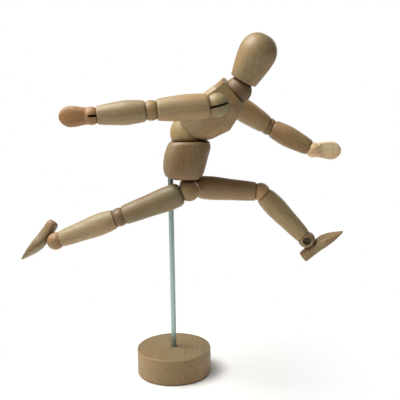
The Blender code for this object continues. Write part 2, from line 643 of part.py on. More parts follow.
def make_arm(chest, tag, side, heading, upper_rise, upper_swing, fore_rise, fore_swing,
             hand_rise, hand_swing, wrist_pin):
    shoulder = SHOULDER_MID + CHEST_LEFT * (side * SHOULDER_OUT)
    upper_dir = direction(heading, side, upper_rise, upper_swing)
    make_shoulder(chest, tag, side, heading, shoulder, upper_dir)

    elbow = shoulder + upper_dir * UPPER_ARM
    fore_dir = direction(heading, side, fore_rise, fore_swing)
    # the elbow bends in the plane of its two segments; a straight arm takes the level pin
    straight = upper_dir.angle(fore_dir) <= STRAIGHT
    elbow_pin = LEFT if straight else fore_dir.cross(upper_dir) * heading
    # a pin that would point steeply down is turned end for end
    if elbow_pin.z < -0.7 * elbow_pin.length:
        elbow_pin = -elbow_pin
    upper_frame = frame(shoulder, upper_dir, elbow_pin)
    elbow_pin = Vector(upper_frame.col[1][:3])
    limb("upper_arm" + tag, UPPER_ARM, UPPER_BORE, UPPER_ARM_ENDS, UPPER_ARM_OUTLINE, upper_frame)
    if straight:
        fore_dir = rotated(upper_dir, elbow_pin, -(fore_rise - upper_rise) * heading)
    fore_frame = frame(elbow, fore_dir, elbow_pin)
    double_hinge("elbow", tag, ELBOW_R, 44, frame(elbow, upper_dir + fore_dir, elbow_pin),
                 frame(elbow, upper_dir, elbow_pin), fore_frame)
    coil_spring("upper_arm_spring" + tag, UPPER_ARM_SPRING_START,
                UPPER_ARM - HOOK_AT - HOOK_ROOM, 3, upper_frame)

    limb("forearm" + tag, FOREARM, LOWER_BORE, FOREARM_ENDS, FOREARM_OUTLINE, fore_frame)
    coil_spring("forearm_spring" + tag, HOOK_AT + HOOK_ROOM,
                FOREARM - WRIST_HOOK - HOOK_ROOM, 3, fore_frame)
    hand_dir = direction(heading, side, hand_rise, hand_swing)
    make_hand(tag, side, elbow + fore_dir * FOREARM, fore_dir, hand_dir, wrist_pin)


def make_shoulder_spring():
    """The spring between the two shoulder balls, with a beaded stem at each end."""
    tip = SHOULDER_OUT - 2.0
    stem = [(0, tip), (0, tip - 1.0), (0, tip - 1.3), (0, 12.0), (0.8, 10.6)]
    points = [(x, 0, -z) for x, z in stem]
    points += helix(LIMB_COIL_R, -9.0, 9.0, 4)
    points += [(x, 0, z) for x, z in reversed(stem)]
    scales = [BEAD] * 2 + [1.0] * (len(points) - 4) + [BEAD] * 2
    wire("shoulder_spring", points, SPRING_WIRE_R, CROSS_FRAME, "steel", scales, sides=0)


# ----------------------------------------------------------------------- legs
HIP = Vector((15.5, 13.0, 159.0))  # of the left leg
HIP_R, HIP_PLANE = 8.8, 6.7
HIP_PIN_HALF = 5.2
# heights in the hip ball's placement, whose Z points down
HIP_SPRING_TOP, HIP_SPRING_LEDGE = -30.6, -14.7
THIGH, SHIN = 60.5, 55.6
KNEE_R, KNEE_PLANE = 7.7, 4.2
ANKLE_R, ANKLE_PLANE = 7.1, 4.5
ANKLE_PIN_HALF, ANKLE_PIN_HOLE_HALF, ANKLE_HOOK = 4.2, 4.6, 11.0
SHIN_SPRING_STOP = 11.8  # from the ankle's centre
RECESS_R, RECESS_FLOOR, RECESS_REACH = 3.4, 2.7, 9.0
THIGH_ENDS = ((HIP_R, HIP_PLANE, UPPER_BORE, 10.0), (KNEE_R, KNEE_PLANE, UPPER_BORE, BORE_START))
SHIN_ENDS = ((KNEE_R, KNEE_PLANE, LOWER_BORE, BORE_START),
             (ANKLE_R, ANKLE_PLANE, LOWER_BORE, BORE_START))
# (fraction of the wooden length, radius)
THIGH_OUTLINE = ((0, 7.6), (0.04, 9.1), (0.1, 9.8), (0.24, 10.0), (0.55, 9.1),
                 (0.97, 7.9), (1, 7.6))
SHIN_OUTLINE = ((0, 7.5), (0.03, 7.9), (0.12, 8.6), (0.27, 9.0), (0.6, 8.0),
                (0.97, 6.6), (1, 6.3))
FOOT_DROP = 15.0  # the sole lies this far from the ankle's centre
# (distance from the ankle towards the toe, sole to top, half width, sole lift)
FOOT_SECTIONS = (
    (-12.4, 7.0, 4.3, 0.5), (-11.6, 8.0, 5.0, 0.0), (-8.4, 8.2, 5.4, 0.0),
    (-4.4, 8.6, 5.2, 0.0), (4.4, 8.8, 5.5, 0.0), (10.0, 8.3, 6.7, 0.0),
    (16.5, 6.1, 6.1, 0.0), (23.2, 2.8, 3.5, 0.0), (27.4, 0.8, 1.0, 0.0),
)


def make_hip(pelvis, tag, hip, thigh_dir):
    pin = (-UP).cross(thigh_dir).normalized()
    if pin.y < 0:
        pin = -pin
    ball_frame = frame(hip, -UP, pin)
    swivel_ball("hip", tag, HIP_R, HIP_PIN_HALF, 99.0, ball_frame)
    # the shallow seat under the pelvis and the bore for the draw spring
    cut(pelvis,
        socket("hip_seat" + tag, HIP_R, ball_frame),
        cylinder("hip_stem_hole" + tag, 1.3, -16.0, -6.0, ball_frame, segments=10),
        cylinder("hip_spring_bore" + tag, SPRING_BORE, -32.0, -14.0, ball_frame, segments=14))
    top = HIP_SPRING_TOP
    points = [(0, 0, -1.9), (0, 0, -2.9), (0, 0, -3.2), (0, 0, top + 0.8), (0.9, 0, top),
              (2.1, 0.1, top)]
    points += helix(2.2, top + 0.9, HIP_SPRING_LEDGE, 4, radians(60))
    scales = [BEAD] * 2 + [1.0] * (len(points) - 2)
    wire("hip_spring" + tag, points, SPRING_WIRE_R, ball_frame, "steel", scales, sides=0)
    hook_link("hip_link" + tag, HIP_PIN_HALF, 1, HOOK_AT, frame(hip, thigh_dir, pin))


def make_ankle(tag, side, ankle_frame):
    ball = sphere("ankle_ball" + tag, ANKLE_R, ankle_frame, "wood")
    # the wide recess is on the inner side of the leg, where the pin's end shows
    low, high = sorted((-side * RECESS_FLOOR, -side * RECESS_REACH))
    cut(ball,
        sector_slot("ankle_slot" + tag, ankle_frame, SLOT_HALF, 9, (180, 58), core=2.4),
        cross_cylinder("ankle_recess" + tag, RECESS_R, low, high, ankle_frame),
        pin_hole("ankle_pin_hole" + tag, ANKLE_PIN_HOLE_HALF, ankle_frame, segments=8))
    hook_link("ankle_link" + tag, ANKLE_PIN_HALF, -1, ANKLE_HOOK, ankle_frame)


def make_foot(tag, foot_frame, ankle_frame):
    """Local Z runs to the toe, local X is up from the sole and local Y across."""
    rings = [
        oval(high / 2, half, along, 12, 3.0, -FOOT_DROP + lift + high / 2)
        for along, high, half, lift in FOOT_SECTIONS
    ]
    foot = loft("foot" + tag, rings, foot_frame, "wood", smooth=40)
    cut(foot, socket("ankle_seat" + tag, ANKLE_R, ankle_frame, BALL_STEPS, BALL_RINGS))


def make_leg(pelvis, tag, side, heading, thigh_rise, swing, shin_rise, foot_rise, twist, roll):
    hip = Vector((HIP.x, side * HIP.y, HIP.z))
    thigh_dir = direction(heading, side, thigh_rise, swing)
    make_hip(pelvis, tag, hip, thigh_dir)
    thigh_frame = frame(hip, thigh_dir, LEFT)
    knee_pin = Vector(thigh_frame.col[1][:3])
    limb("thigh" + tag, THIGH, UPPER_BORE, THIGH_ENDS, THIGH_OUTLINE, thigh_frame)

    knee = hip + thigh_dir * THIGH
    bend = (shin_rise - thigh_rise) * heading
    shin_dir = rotated(thigh_dir, knee_pin, -bend)
    shin_frame = frame(knee, shin_dir, knee_pin)
    double_hinge("knee", tag, KNEE_R, 46,
                 frame(knee, rotated(thigh_dir, knee_pin, -bend / 2), knee_pin),
                 frame(knee, thigh_dir, knee_pin), shin_frame)
    coil_spring("thigh_spring" + tag, HOOK_AT + HOOK_ROOM, THIGH - HOOK_AT - HOOK_ROOM, 4,
                thigh_frame)
    limb("shin" + tag, SHIN, LOWER_BORE, SHIN_ENDS, SHIN_OUTLINE, shin_frame)
    coil_spring("shin_spring" + tag, HOOK_AT + HOOK_ROOM, SHIN - SHIN_SPRING_STOP, 4, shin_frame)

    ankle = knee + shin_dir * SHIN
    # the shin's turn about itself carries the ankle's pin round with it
    ankle_pin = rotated(knee_pin, shin_dir, twist)
    ankle_frame = frame(ankle, shin_dir, ankle_pin)
    make_ankle(tag, side, ankle_frame)
    # the toe's direction turns about the ankle's pin, then the foot rocks on the ball
    toe = square_to(direction(heading, side, foot_rise, swing), ankle_pin).normalized()
    foot_up = ankle_pin.cross(toe)
    if foot_up.dot(-shin_dir) < 0:
        foot_up = -foot_up
    foot_up = rotated(foot_up, toe, roll)
    make_foot(tag, frame(ankle, toe, toe.cross(foot_up)), ankle_frame)


# ------------------------------------------------------------------- assembly
# the order of making sets each wooden piece's tone
make_base()
pelvis_piece = make_pelvis()
make_waist_ball()
chest_piece = make_chest()
make_neck()
make_head()
make_arm(chest_piece, "_right", **RIGHT_ARM)
make_arm(chest_piece, "_left", **LEFT_ARM)
make_shoulder_spring()
make_leg(pelvis_piece, "_right", **RIGHT_LEG)
make_leg(pelvis_piece, "_left", **LEFT_LEG)
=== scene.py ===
"""Jointed wooden artist mannequin: a turned, sprung figure held by a steel rod on a disc base.

Z is up and the origin lies on the floor, under the middle of the base. The trunk faces +X and its
left side is at +Y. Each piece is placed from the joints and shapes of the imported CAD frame.
Sizes are in millimetres and become metres when a mesh is made.
"""

import json
from math import acos, asin, cos, degrees, pi, radians, sin

import bmesh
import bpy
import numpy as np
from mathutils import Matrix, Vector


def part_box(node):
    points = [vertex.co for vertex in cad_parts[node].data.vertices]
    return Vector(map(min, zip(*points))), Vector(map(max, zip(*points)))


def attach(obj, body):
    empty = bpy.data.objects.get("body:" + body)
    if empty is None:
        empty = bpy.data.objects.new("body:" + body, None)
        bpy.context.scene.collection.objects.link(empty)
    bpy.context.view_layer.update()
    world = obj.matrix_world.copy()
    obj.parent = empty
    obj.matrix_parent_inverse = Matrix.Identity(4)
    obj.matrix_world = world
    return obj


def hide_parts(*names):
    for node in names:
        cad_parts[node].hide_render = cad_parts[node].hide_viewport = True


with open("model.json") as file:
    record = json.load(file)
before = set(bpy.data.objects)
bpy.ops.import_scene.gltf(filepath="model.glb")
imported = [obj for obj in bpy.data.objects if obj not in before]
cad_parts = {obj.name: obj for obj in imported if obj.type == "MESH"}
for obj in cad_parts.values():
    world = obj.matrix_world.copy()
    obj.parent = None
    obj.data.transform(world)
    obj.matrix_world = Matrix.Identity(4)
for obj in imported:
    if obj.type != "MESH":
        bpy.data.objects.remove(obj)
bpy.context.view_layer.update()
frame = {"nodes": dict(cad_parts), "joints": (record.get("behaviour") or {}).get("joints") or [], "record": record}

MM = 0.001
SIDES = ("right", "left")
UP, LEFT = Vector((0, 0, 1)), Vector((0, 1, 0))
JOINTS = {j["name"]: j for j in frame["joints"]}
BODY_OF = {node: body for body, members in frame["record"]["behaviour"]["bodies"].items()
           for node in members}

# ----------------------------------------------------------- shared dimensions
GAP = 0.17  # play between a ball and its cup
PIN_R, PIN_HOLE_R, WIRE_R = 0.6, 0.8, 0.5
SLOT_HALF, DOUBLE_SLOT_HALF = 0.8, 1.45  # half widths of the saw cuts for one wire and for two
WIRE_OFFSET = 0.7  # of either wire from the middle of a double slot
HOOK_AT = 12.6  # from a joint to the end of its hooked wire
SPRING_START = HOOK_AT + 0.9
SPRING_R, SPRING_WIRE_R = 1.9, 0.35
BEAD = 1.7  # thickening at a spring's anchored end, as a multiple of its wire
WAIST_R, NECK_R, SHOULDER_R, ELBOW_R, WRIST_R = 16.0, 10.9, 9.3, 7.7, 6.75
HIP_R, KNEE_R, ANKLE_R = 8.8, 7.7, 7.1
LIMB_STEPS, LIMB_LEVELS, BALL_STEPS, BIG_BALL_STEPS, WIRE_STEPS = 72, 48, 72, 96, 12


# --------------------------------------------------------------------- placing
def joint(name):
    return Vector(JOINTS[name]["pos_m"]) / MM


def axis(name):
    return Vector(JOINTS[name]["axis"]).normalized()


def box(node):
    return [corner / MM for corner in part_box(node)]


def square_to(vector, normal):
    """Direction of the part of vector that is square to normal."""
    return (vector - normal * vector.dot(normal)).normalized()


def placed(origin, z_axis, y_axis):
    """A placement whose Z runs along z_axis and whose Y lies nearest to y_axis."""
    z = Vector(z_axis).normalized()
    y = (Vector(y_axis) - z * z.dot(Vector(y_axis))).normalized()
    matrix = Matrix((y.cross(z), y, z)).transposed().to_4x4()
    matrix.translation = Vector(origin) * MM
    return matrix


def centroid(node):
    """Middle of a closed CAD solid's volume."""
    mesh = frame["nodes"][node].data
    mesh.calc_loop_triangles()
    points = np.array([v.co for v in mesh.vertices], float).reshape(-1, 3) / MM
    triangles = points[np.array([list(t.vertices) for t in mesh.loop_triangles])]
    middle = points.mean(0)
    triangles = triangles - middle
    normals = np.cross(triangles[:, 1], triangles[:, 2])
    volumes = np.einsum("ij,ij->i", triangles[:, 0], normals)
    moment = (volumes[:, None] * triangles.sum(1)).sum(0)
    return Vector(middle + moment / (4 * volumes.sum()))


UPRIGHT = placed((0, 0, 0), UP, LEFT)


# ---------------------------------------------------------------------- curves
def arc(radius, centre_z, start, end, step=4.0):
    """(radius, height) points of a circle, with angles in degrees from the +Z pole."""
    count = max(1, int(abs(end - start) / step + 0.999))
    angles = [radians(start + (end - start) * i / count) for i in range(count + 1)]
    return [(radius * sin(a), centre_z + radius * cos(a)) for a in angles]


def monotone(stations, values, x):
    """Monotone cubic through the points, so an outline has no bumps."""
    count = len(stations)
    spans = [high - low for low, high in zip(stations, stations[1:])]
    secants = [(values[i + 1] - values[i]) / spans[i] for i in range(count - 1)]
    slopes = [secants[0]] + [0.0] * (count - 2) + [secants[-1]]
    for i in range(1, count - 1):
        if secants[i - 1] * secants[i] > 0:
            before, after = 2 * spans[i] + spans[i - 1], spans[i] + 2 * spans[i - 1]
            slopes[i] = (before + after) / (before / secants[i - 1] + after / secants[i])
    i = max(0, min(count - 2, sum(1 for s in stations if s <= x) - 1))
    t = (x - stations[i]) / spans[i]
    return ((2 * t ** 3 - 3 * t * t + 1) * values[i]
            + (t ** 3 - 2 * t * t + t) * spans[i] * slopes[i]
            + (-2 * t ** 3 + 3 * t * t) * values[i + 1]
            + (t ** 3 - t * t) * spans[i] * slopes[i + 1])


def columns_at(table, x):
    """The table's other columns, read smoothly where its first column is x."""
    stations, *columns = zip(*table)
    return [monotone(stations, column, x) for column in columns]


def oval(half_x, half_y, z, count, power, centre_x=0.0):
    """A superellipse ring; a higher power is squarer."""
    ring = []
    for i in range(count):
        angle = 2 * pi * (i + 0.5) / count
        c, s = cos(angle), sin(angle)
        ring.append((centre_x + half_x * abs(c) ** (2 / power) * (1 if c > 0 else -1),
                     half_y * abs(s) ** (2 / power) * (1 if s > 0 else -1), z))
    return ring


def smooth_path(points, per=6):
    """A Catmull-Rom curve through the points, with per steps to a span."""
    points = [Vector(p) for p in points]
    ends = [points[0] * 2 - points[1]] + points + [points[-1] * 2 - points[-2]]
    path = []
    for p0, p1, p2, p3 in zip(ends, ends[1:], ends[2:], ends[3:]):
        for k in range(per):
            t = k / per
            path.append(0.5 * ((2 * p1) + (p2 - p0) * t
                               + (2 * p0 - 5 * p1 + 4 * p2 - p3) * t * t
                               + (3 * p1 - p0 - 3 * p2 + p3) * t ** 3))
    return path + [points[-1]]


def helix(radius, z0, z1, turns, start=0.0, per_turn=24):
    count = int(round(turns * per_turn))
    angles = [start + 2 * pi * i / per_turn for i in range(count + 1)]
    return [(radius * cos(a), radius * sin(a), z0 + (z1 - z0) * i / count)
            for i, a in enumerate(angles)]


# ---------------------------------------------------------------------- meshes
def mesh_object(name, bm, matrix):
    bmesh.ops.remove_doubles(bm, verts=bm.verts, dist=1e-4)
    bmesh.ops.recalc_face_normals(bm, faces=bm.faces)
    for v in bm.verts:
        v.co *= MM
    mesh = bpy.data.meshes.new(name)
    bm.to_mesh(mesh)
    bm.free()
    obj = bpy.data.objects.new(name, mesh)
    bpy.context.scene.collection.objects.link(obj)
    obj.matrix_world = matrix
    return obj


def lathe(name, profile, steps, matrix):
    """A turned piece from (radius, height) pairs; a profile clear of the axis closes on itself."""
    bm = bmesh.new()
    turns = [(cos(2 * pi * i / steps), sin(2 * pi * i / steps)) for i in range(steps)]
    rings = []
    for radius, z in profile:
        if radius < 1e-6:
            rings.append([bm.verts.new((0, 0, z))])
        else:
            rings.append([bm.verts.new((radius * c, radius * s, z)) for c, s in turns])
    pairs = list(zip(rings, rings[1:]))
    if min(radius for radius, _ in profile) > 1e-6:
        pairs.append((rings[-1], rings[0]))
    for a, b in pairs:
        for i in range(steps):
            k = (i + 1) % steps
            corners = [a[i % len(a)], a[k % len(a)], b[k % len(b)], b[i % len(b)]]
            corners = list(dict.fromkeys(corners))
            if len(corners) > 2:
                bm.faces.new(corners)
    return mesh_object(name, bm, matrix)


def loft(name, rings, matrix):
    """A skin over rings of equal count, capped at both ends."""
    bm = bmesh.new()
    loops = [[bm.verts.new(p) for p in ring] for ring in rings]
    count = len(loops[0])
    for low, high in zip(loops, loops[1:]):
        for i in range(count):
            k = (i + 1) % count
            bm.faces.new((low[i], low[k], high[k], high[i]))
    bm.faces.new(loops[0])
    bm.faces.new(loops[-1])
    return mesh_object(name, bm, matrix)


def cylinder(radius, z0, z1, matrix, steps=40, name="tool"):
    return lathe(name, [(0, z0), (radius, z0), (radius, z1), (0, z1)], steps, matrix)


def cross_cylinder(radius, y0, y1, matrix, steps=32, name="tool"):
    """A cylinder along the placement's Y."""
    return cylinder(radius, y0, y1, matrix @ Matrix.Rotation(-pi / 2, 4, "X"), steps, name)


def sphere(radius, matrix, steps=BALL_STEPS, name="tool"):
    rings = steps // 2
    angles = [pi * i / rings for i in range(1, rings)]
    profile = [(radius * sin(a), radius * cos(a)) for a in angles]
    return lathe(name, [(0, radius)] + profile + [(0, -radius)], steps, matrix)


def prism(outline, half, matrix):
    """A cutting tool: an XZ outline drawn out to half on either side."""
    bm = bmesh.new()
    face = bm.faces.new([bm.verts.new((x, -half, z)) for x, z in outline])
    made = bmesh.ops.extrude_face_region(bm, geom=[face])
    moved = [e for e in made["geom"] if isinstance(e, bmesh.types.BMVert)]
    bmesh.ops.translate(bm, vec=(0, 2 * half, 0), verts=moved)
    return mesh_object("tool", bm, matrix)


def sector_slot(matrix, half, reach, *windows, core=3.2):
    """Tool for a saw cut: a disc of radius core that reaches further out in each window.

    A window is its middle and its half angle, in degrees from +Z toward +X."""
    outline, edges = [], sorted((middle - swing, middle + swing) for middle, swing in windows)
    for i, (start, end) in enumerate(edges):
        outline += arc(reach, 0.0, start, end, 6)
        following = edges[(i + 1) % len(edges)][0] + (360 if i == len(edges) - 1 else 0)
        outline += arc(core, 0.0, end, following, 12)
    return prism(outline, half, matrix)


def wire(name, points, radius, matrix, scales=None):
    """A round wire swept along points, with domed ends; scales thickens it point by point."""
    centres = [Vector(p) for p in points]
    last = len(centres) - 1
    tangents = [(centres[min(i + 1, last)] - centres[max(i - 1, 0)]).normalized()
                for i in range(last + 1)]
    side = tangents[0].orthogonal().normalized()
    rings = []
    for i, tangent in enumerate(tangents):
        side = square_to(side, tangent)
        size = radius * (scales[i] if scales else 1.0)
        rings.append((centres[i], side, tangent.cross(side), size))

    def dome(ring, outward):
        centre, across, other, size = ring
        return [(centre + outward * (size * sin(radians(tilt))), across, other,
                 size * cos(radians(tilt))) for tilt in (75, 50, 25)]

    rings = dome(rings[0], -tangents[0]) + rings + dome(rings[-1], tangents[-1])[::-1]
    turns = [2 * pi * k / WIRE_STEPS for k in range(WIRE_STEPS)]
    loops = [[tuple(centre + (across * cos(a) + other * sin(a)) * size) for a in turns]
             for centre, across, other, size in rings]
    return loft(name, loops, matrix)


# ------------------------------------------------------------------- finishing
def applied(obj):
    """Bakes the modifiers into the mesh and removes the tools that they used."""
    tools = [m.object for m in obj.modifiers if m.type == "BOOLEAN"]
    bpy.context.view_layer.update()
    graph = bpy.context.evaluated_depsgraph_get()
    mesh = bpy.data.meshes.new_from_object(obj.evaluated_get(graph))
    obj.modifiers.clear()
    obj.data = mesh
    for tool in tools:
        bpy.data.objects.remove(tool, do_unlink=True)
    return obj


def cut(obj, *tools, union=False):
    for tool in tools:
        boolean = obj.modifiers.new("cut", "BOOLEAN")
        boolean.operation = "UNION" if union else "DIFFERENCE"
        boolean.solver = "EXACT"
        boolean.object = tool
    return applied(obj)


def soften(obj, width, angle, segments=2):
    """Rounds each edge that is sharper than angle, as sanding does."""
    bevel = obj.modifiers.new("round", "BEVEL")
    bevel.width = width * MM
    bevel.segments = segments
    bevel.limit_method = "ANGLE"
    bevel.angle_limit = radians(angle)
    bevel.use_clamp_overlap = True
    bevel.miter_outer = "MITER_ARC"
    return applied(obj)


def shade(obj, angle):
    bm = bmesh.new()
    bm.from_mesh(obj.data)
    bmesh.ops.remove_doubles(bm, verts=bm.verts, dist=2e-7)
    bmesh.ops.dissolve_degenerate(bm, edges=bm.edges, dist=1e-7)
    bm.to_mesh(obj.data)
    bm.free()
    obj.data.shade_smooth()
    obj.data.set_sharp_from_angle(angle=radians(angle))


def done(obj, material, sharp_angle=40.0):
    """Shades a piece and ties it to its CAD node, whose name is the piece's up to the last _."""
    node = obj.name.rsplit("_", 1)[0]
    shade(obj, sharp_angle)
    obj.data.materials.clear()
    obj.data.materials.append(material)
    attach(obj, BODY_OF[node])
    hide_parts(node)


# ------------------------------------------------------------------- materials
class Graph:
    """Short calls for building a node tree."""

    def __init__(self, name):
        self.material = bpy.data.materials.new(name)
        self.material.use_nodes = True
        self.tree = self.material.node_tree
        self.shader = self.tree.nodes["Principled BSDF"]

    def node(self, kind, *values, settings=None, **named):
        """A node whose inputs are fed in order by values and by name by the rest."""
        made = self.tree.nodes.new("ShaderNode" + kind)
        for key, value in (settings or {}).items():
            setattr(made, key, value)
        for index, value in enumerate(values):
            if value is not None:
                self.feed(made.inputs[index], value)
        self.feed_named(made, **named)
        return made

    def feed_named(self, node, **named):
        for key, value in named.items():
            self.feed(node.inputs[key.replace("_", " ")], value)

    def feed(self, socket, value):
        if isinstance(value, bpy.types.NodeSocket):
            self.tree.links.new(value, socket)
        elif isinstance(value, tuple) and len(value) == 3 and socket.type == "RGBA":
            socket.default_value = (*value, 1.0)
        else:
            socket.default_value = value

    def math(self, operation, a, b=None):
        return self.node("Math", a, b, settings={"operation": operation}).outputs[0]

    def vector(self, operation, a, b=None, output="Vector"):
        return self.node("VectorMath", a, b, settings={"operation": operation}).outputs[output]

    def split(self, vector):
        return self.node("SeparateXYZ", vector).outputs

    def in_mm(self, where):
        scaled = self.vector("SCALE", where)
        scaled.node.inputs["Scale"].default_value = 1000.0
        return scaled

    def noise(self, where, across, along, detail=2.0, rough=0.5, output="Fac"):
        """Noise with its frequency given across Z and along it."""
        stretched = self.vector("MULTIPLY", where, (across, across, along))
        return self.node("TexNoise", Vector=stretched, Scale=1.0, Detail=detail,
                         Roughness=rough).outputs[output]

    def remap(self, value, start, full, low=0.0, high=1.0, smooth=True):
        """Carries start..full to low..high."""
        kind = "SMOOTHSTEP" if smooth else "LINEAR"
        return self.node("MapRange", settings={"interpolation_type": kind}, Value=value,
                         From_Min=start, From_Max=full, To_Min=low, To_Max=high).outputs[0]

    def mix(self, factor, a, b):
        made = self.node("Mix", factor, settings={"data_type": "RGBA", "clamp_factor": True})
        self.feed(made.inputs[6], a)
        self.feed(made.inputs[7], b)
        return made.outputs[2]

    def layer(self, base, colour, mask, amount, start=None, full=None):
        """Lays colour over base by up to amount, where mask runs from start to full."""
        if start is None:
            return self.mix(self.math("MULTIPLY", mask, amount), base, colour)
        return self.mix(self.remap(mask, start, full, 0.0, amount), base, colour)

    def bump(self, height, strength):
        return self.node("Bump", Strength=strength, Distance=0.001, Height=height).outputs[0]


DARKEN = (0.56, 0.555, 0.485)  # takes each wood colour given below down to its final depth
DARK_GRAIN = (0.17, 0.085, 0.035)
GLOSS = 0.5  # middle roughness of the wood


def wood(name, colour, *, seed, pith, spacing, ring, fleck, gloss=GLOSS, worn=0.30,
         across_y=False, top_shade=0.0):
    """Pale turned hardwood with its grain along the piece's Z, or along its Y for across_y.

    pith is the centre of the growth rings in the plane across the grain, and spacing is their
    pitch. ring, fleck and worn are the strengths of the rings, the dark flecks and the pale
    raised edges; the last keyword sets the painted shade that darkens faces looking up local Z.
    """
    g = Graph(name)
    texture = g.node("TexCoord")
    where = g.in_mm(texture.outputs["Object"])
    normal = texture.outputs["Normal"]
    facing_up = g.remap(g.split(normal)[2], 0.72, 0.98)
    if across_y:
        # cut from a board: the growth rings show on the two ends in Y
        place, facing = g.split(where), g.split(normal)
        where = g.node("CombineXYZ", place[0], place[2], place[1]).outputs[0]
        normal = g.node("CombineXYZ", facing[0], facing[2], facing[1]).outputs[0]
    shifted = g.vector("ADD", where, (seed * 37.1, seed * 17.7, seed * 53.3))

    # growth rings about the pith, wandering slowly along the grain
    drift = g.noise(shifted, across=0.05, along=0.012, output="Color")
    wander = g.vector("SUBTRACT", drift, (0.5, 0.5, 0.5))
    bent = g.vector("ADD", where, g.vector("MULTIPLY", wander, (9.0, 9.0, 0.0)))
    from_pith = g.vector("SUBTRACT", bent, (pith[0], pith[1], 0.0))
    flat = g.vector("MULTIPLY", from_pith, (1.0, 1.0, 0.0))
    radius = g.vector("LENGTH", flat, output="Value")
    uneven = g.math("MULTIPLY", g.noise(shifted, across=0.22, along=0.01), 1.6)
    phase = g.math("FRACT", g.math("ADD", g.math("DIVIDE", radius, spacing), uneven))
    # each ring darkens slowly and ends abruptly
    late = g.math("MULTIPLY", g.remap(phase, 0.25, 0.88), g.remap(phase, 1.0, 0.93))
    strength = g.remap(g.noise(shifted, across=0.09, along=0.01, detail=1.0),
                       start=0.3, full=0.75, low=0.35, high=1.0)
    late = g.math("MULTIPLY", late, strength)

    # fibres, short dark flecks and slow changes of tone
    fibre = g.noise(shifted, across=2.0, along=0.06)
    coarse = g.noise(shifted, across=0.95, along=0.03, detail=3.0, rough=0.55)
    speck = g.remap(g.noise(shifted, across=1.25, along=0.20, detail=1.0), 0.62, 0.76)
    warm = g.remap(g.noise(shifted, across=0.055, along=0.022), 0.32, 0.68)
    patch = g.noise(shifted, across=0.13, along=0.05, detail=3.0, rough=0.6)
    end = g.remap(g.math("ABSOLUTE", g.split(normal)[2]), 0.72, 0.98)

    colour = tuple(c * k for c, k in zip(colour, DARKEN))

    def tint(*factors):
        return tuple(min(1.0, c * k) for c, k in zip(colour, factors))

    olive, pink = tint(0.93, 1.02, 0.98), tint(1.10, 0.95, 0.84)
    tone = g.mix(warm, olive, pink)
    tone = g.layer(tone, DARK_GRAIN, late, amount=ring)
    tone = g.layer(tone, tint(0.62, 0.50, 0.38), coarse, amount=0.34, start=0.35, full=0.75)
    tone = g.layer(tone, tint(0.55, 0.44, 0.33), fibre, amount=0.42, start=0.46, full=0.80)
    tone = g.layer(tone, tint(1.28, 1.30, 1.34), fibre, amount=0.34, start=0.50, full=0.18)
    tone = g.layer(tone, DARK_GRAIN, speck, amount=0.62 * fleck)
    tone = g.layer(tone, tint(0.74, 0.62, 0.50), patch, amount=0.22, start=0.42, full=0.75)
    # open end grain drinks the varnish
    tone = g.layer(tone, tint(0.52, 0.40, 0.29), end, amount=0.34)
    # painted shade: ambient occlusion darkens the wood in the seams and gaps between parts
    gap_shade = g.node("AmbientOcclusion", settings={"samples": 6, "only_local": False},
                  Distance=0.0034).outputs["AO"]
    gap_shade_colour = tuple(c * 0.45 for c in DARK_GRAIN)
    tone = g.layer(tone, gap_shade_colour, gap_shade, amount=0.90, start=0.80, full=0.24)
    crest = g.node("NewGeometry").outputs["Pointiness"]
    tone = g.layer(tone, tint(1.22, 1.20, 1.16), crest, amount=worn, start=0.515, full=0.60)
    # painted shade: faces that look up local Z are darkened
    tone = g.layer(tone, tint(0.50, 0.48, 0.42), facing_up, amount=top_shade)

    # fibres, end grain and patches each change the roughness
    rough = g.remap(fibre, 0.25, 0.8, low=gloss - 0.05, high=gloss + 0.13, smooth=False)
    rough = g.math("ADD", rough, g.math("MULTIPLY", end, 0.16))
    rough = g.math("ADD", rough, g.remap(patch, 0.3, 0.7, low=-0.05, high=0.06))
    # relief of each kind of mark
    height = g.math("MULTIPLY", fibre, 0.022)
    for mask, rise in ((late, -0.022), (speck, -0.018), (patch, 0.10)):
        height = g.math("ADD", height, g.math("MULTIPLY", mask, rise))
    g.feed_named(g.shader, Base_Color=tone, Roughness=rough, Specular_IOR_Level=0.42,
                 Coat_Weight=0.10, Coat_Roughness=0.34, Normal=g.bump(height, strength=0.45))
    return g.material


def steel(name, colour, *, roughness, seed, across, along):
    """Drawn steel: fine lines along Z, of frequency across and along, faint tarnish and pits."""
    g = Graph(name)
    where = g.in_mm(g.node("TexCoord").outputs["Object"])
    where = g.vector("ADD", where, (seed * 11.3, seed * 29.1, seed * 7.9))
    line = g.noise(where, across, along, detail=3.0, rough=0.6)
    cloud = g.noise(where, across=0.35, along=0.05, detail=3.0, rough=0.6)
    pit = g.remap(g.noise(where, across=4.5, along=1.6), 0.66, 0.74)
    tarnish = tuple(c * k for c, k in zip(colour, (0.62, 0.56, 0.48)))
    tone = g.layer(colour, tarnish, cloud, amount=0.25, start=0.42, full=0.78)
    tone = g.layer(tone, tuple(c * 0.62 for c in colour), line, amount=0.22, start=0.5, full=0.8)
    tone = g.layer(tone, tuple(c * 0.4 for c in colour), pit, amount=0.35)
    rough = g.remap(line, 0.25, 0.8, low=roughness - 0.06, high=roughness + 0.12, smooth=False)
    rough = g.math("ADD", rough, g.math("MULTIPLY", pit, 0.15))
    # lines stand up and pits sink by the same depth
    height = g.math("SUBTRACT", g.math("MULTIPLY", line, 0.02), g.math("MULTIPLY", pit, 0.02))
    g.feed_named(g.shader, Base_Color=tone, Metallic=1.0, Roughness=rough,
                 Normal=g.bump(height, strength=0.25))
    return g.material


SPRING = steel("spring_wire", (0.36, 0.36, 0.35), roughness=0.36, seed=3.0, across=5.0, along=0.4)
LINK = steel("link_wire", (0.075, 0.068, 0.06), roughness=0.55, seed=5.0, across=5.0, along=0.4)

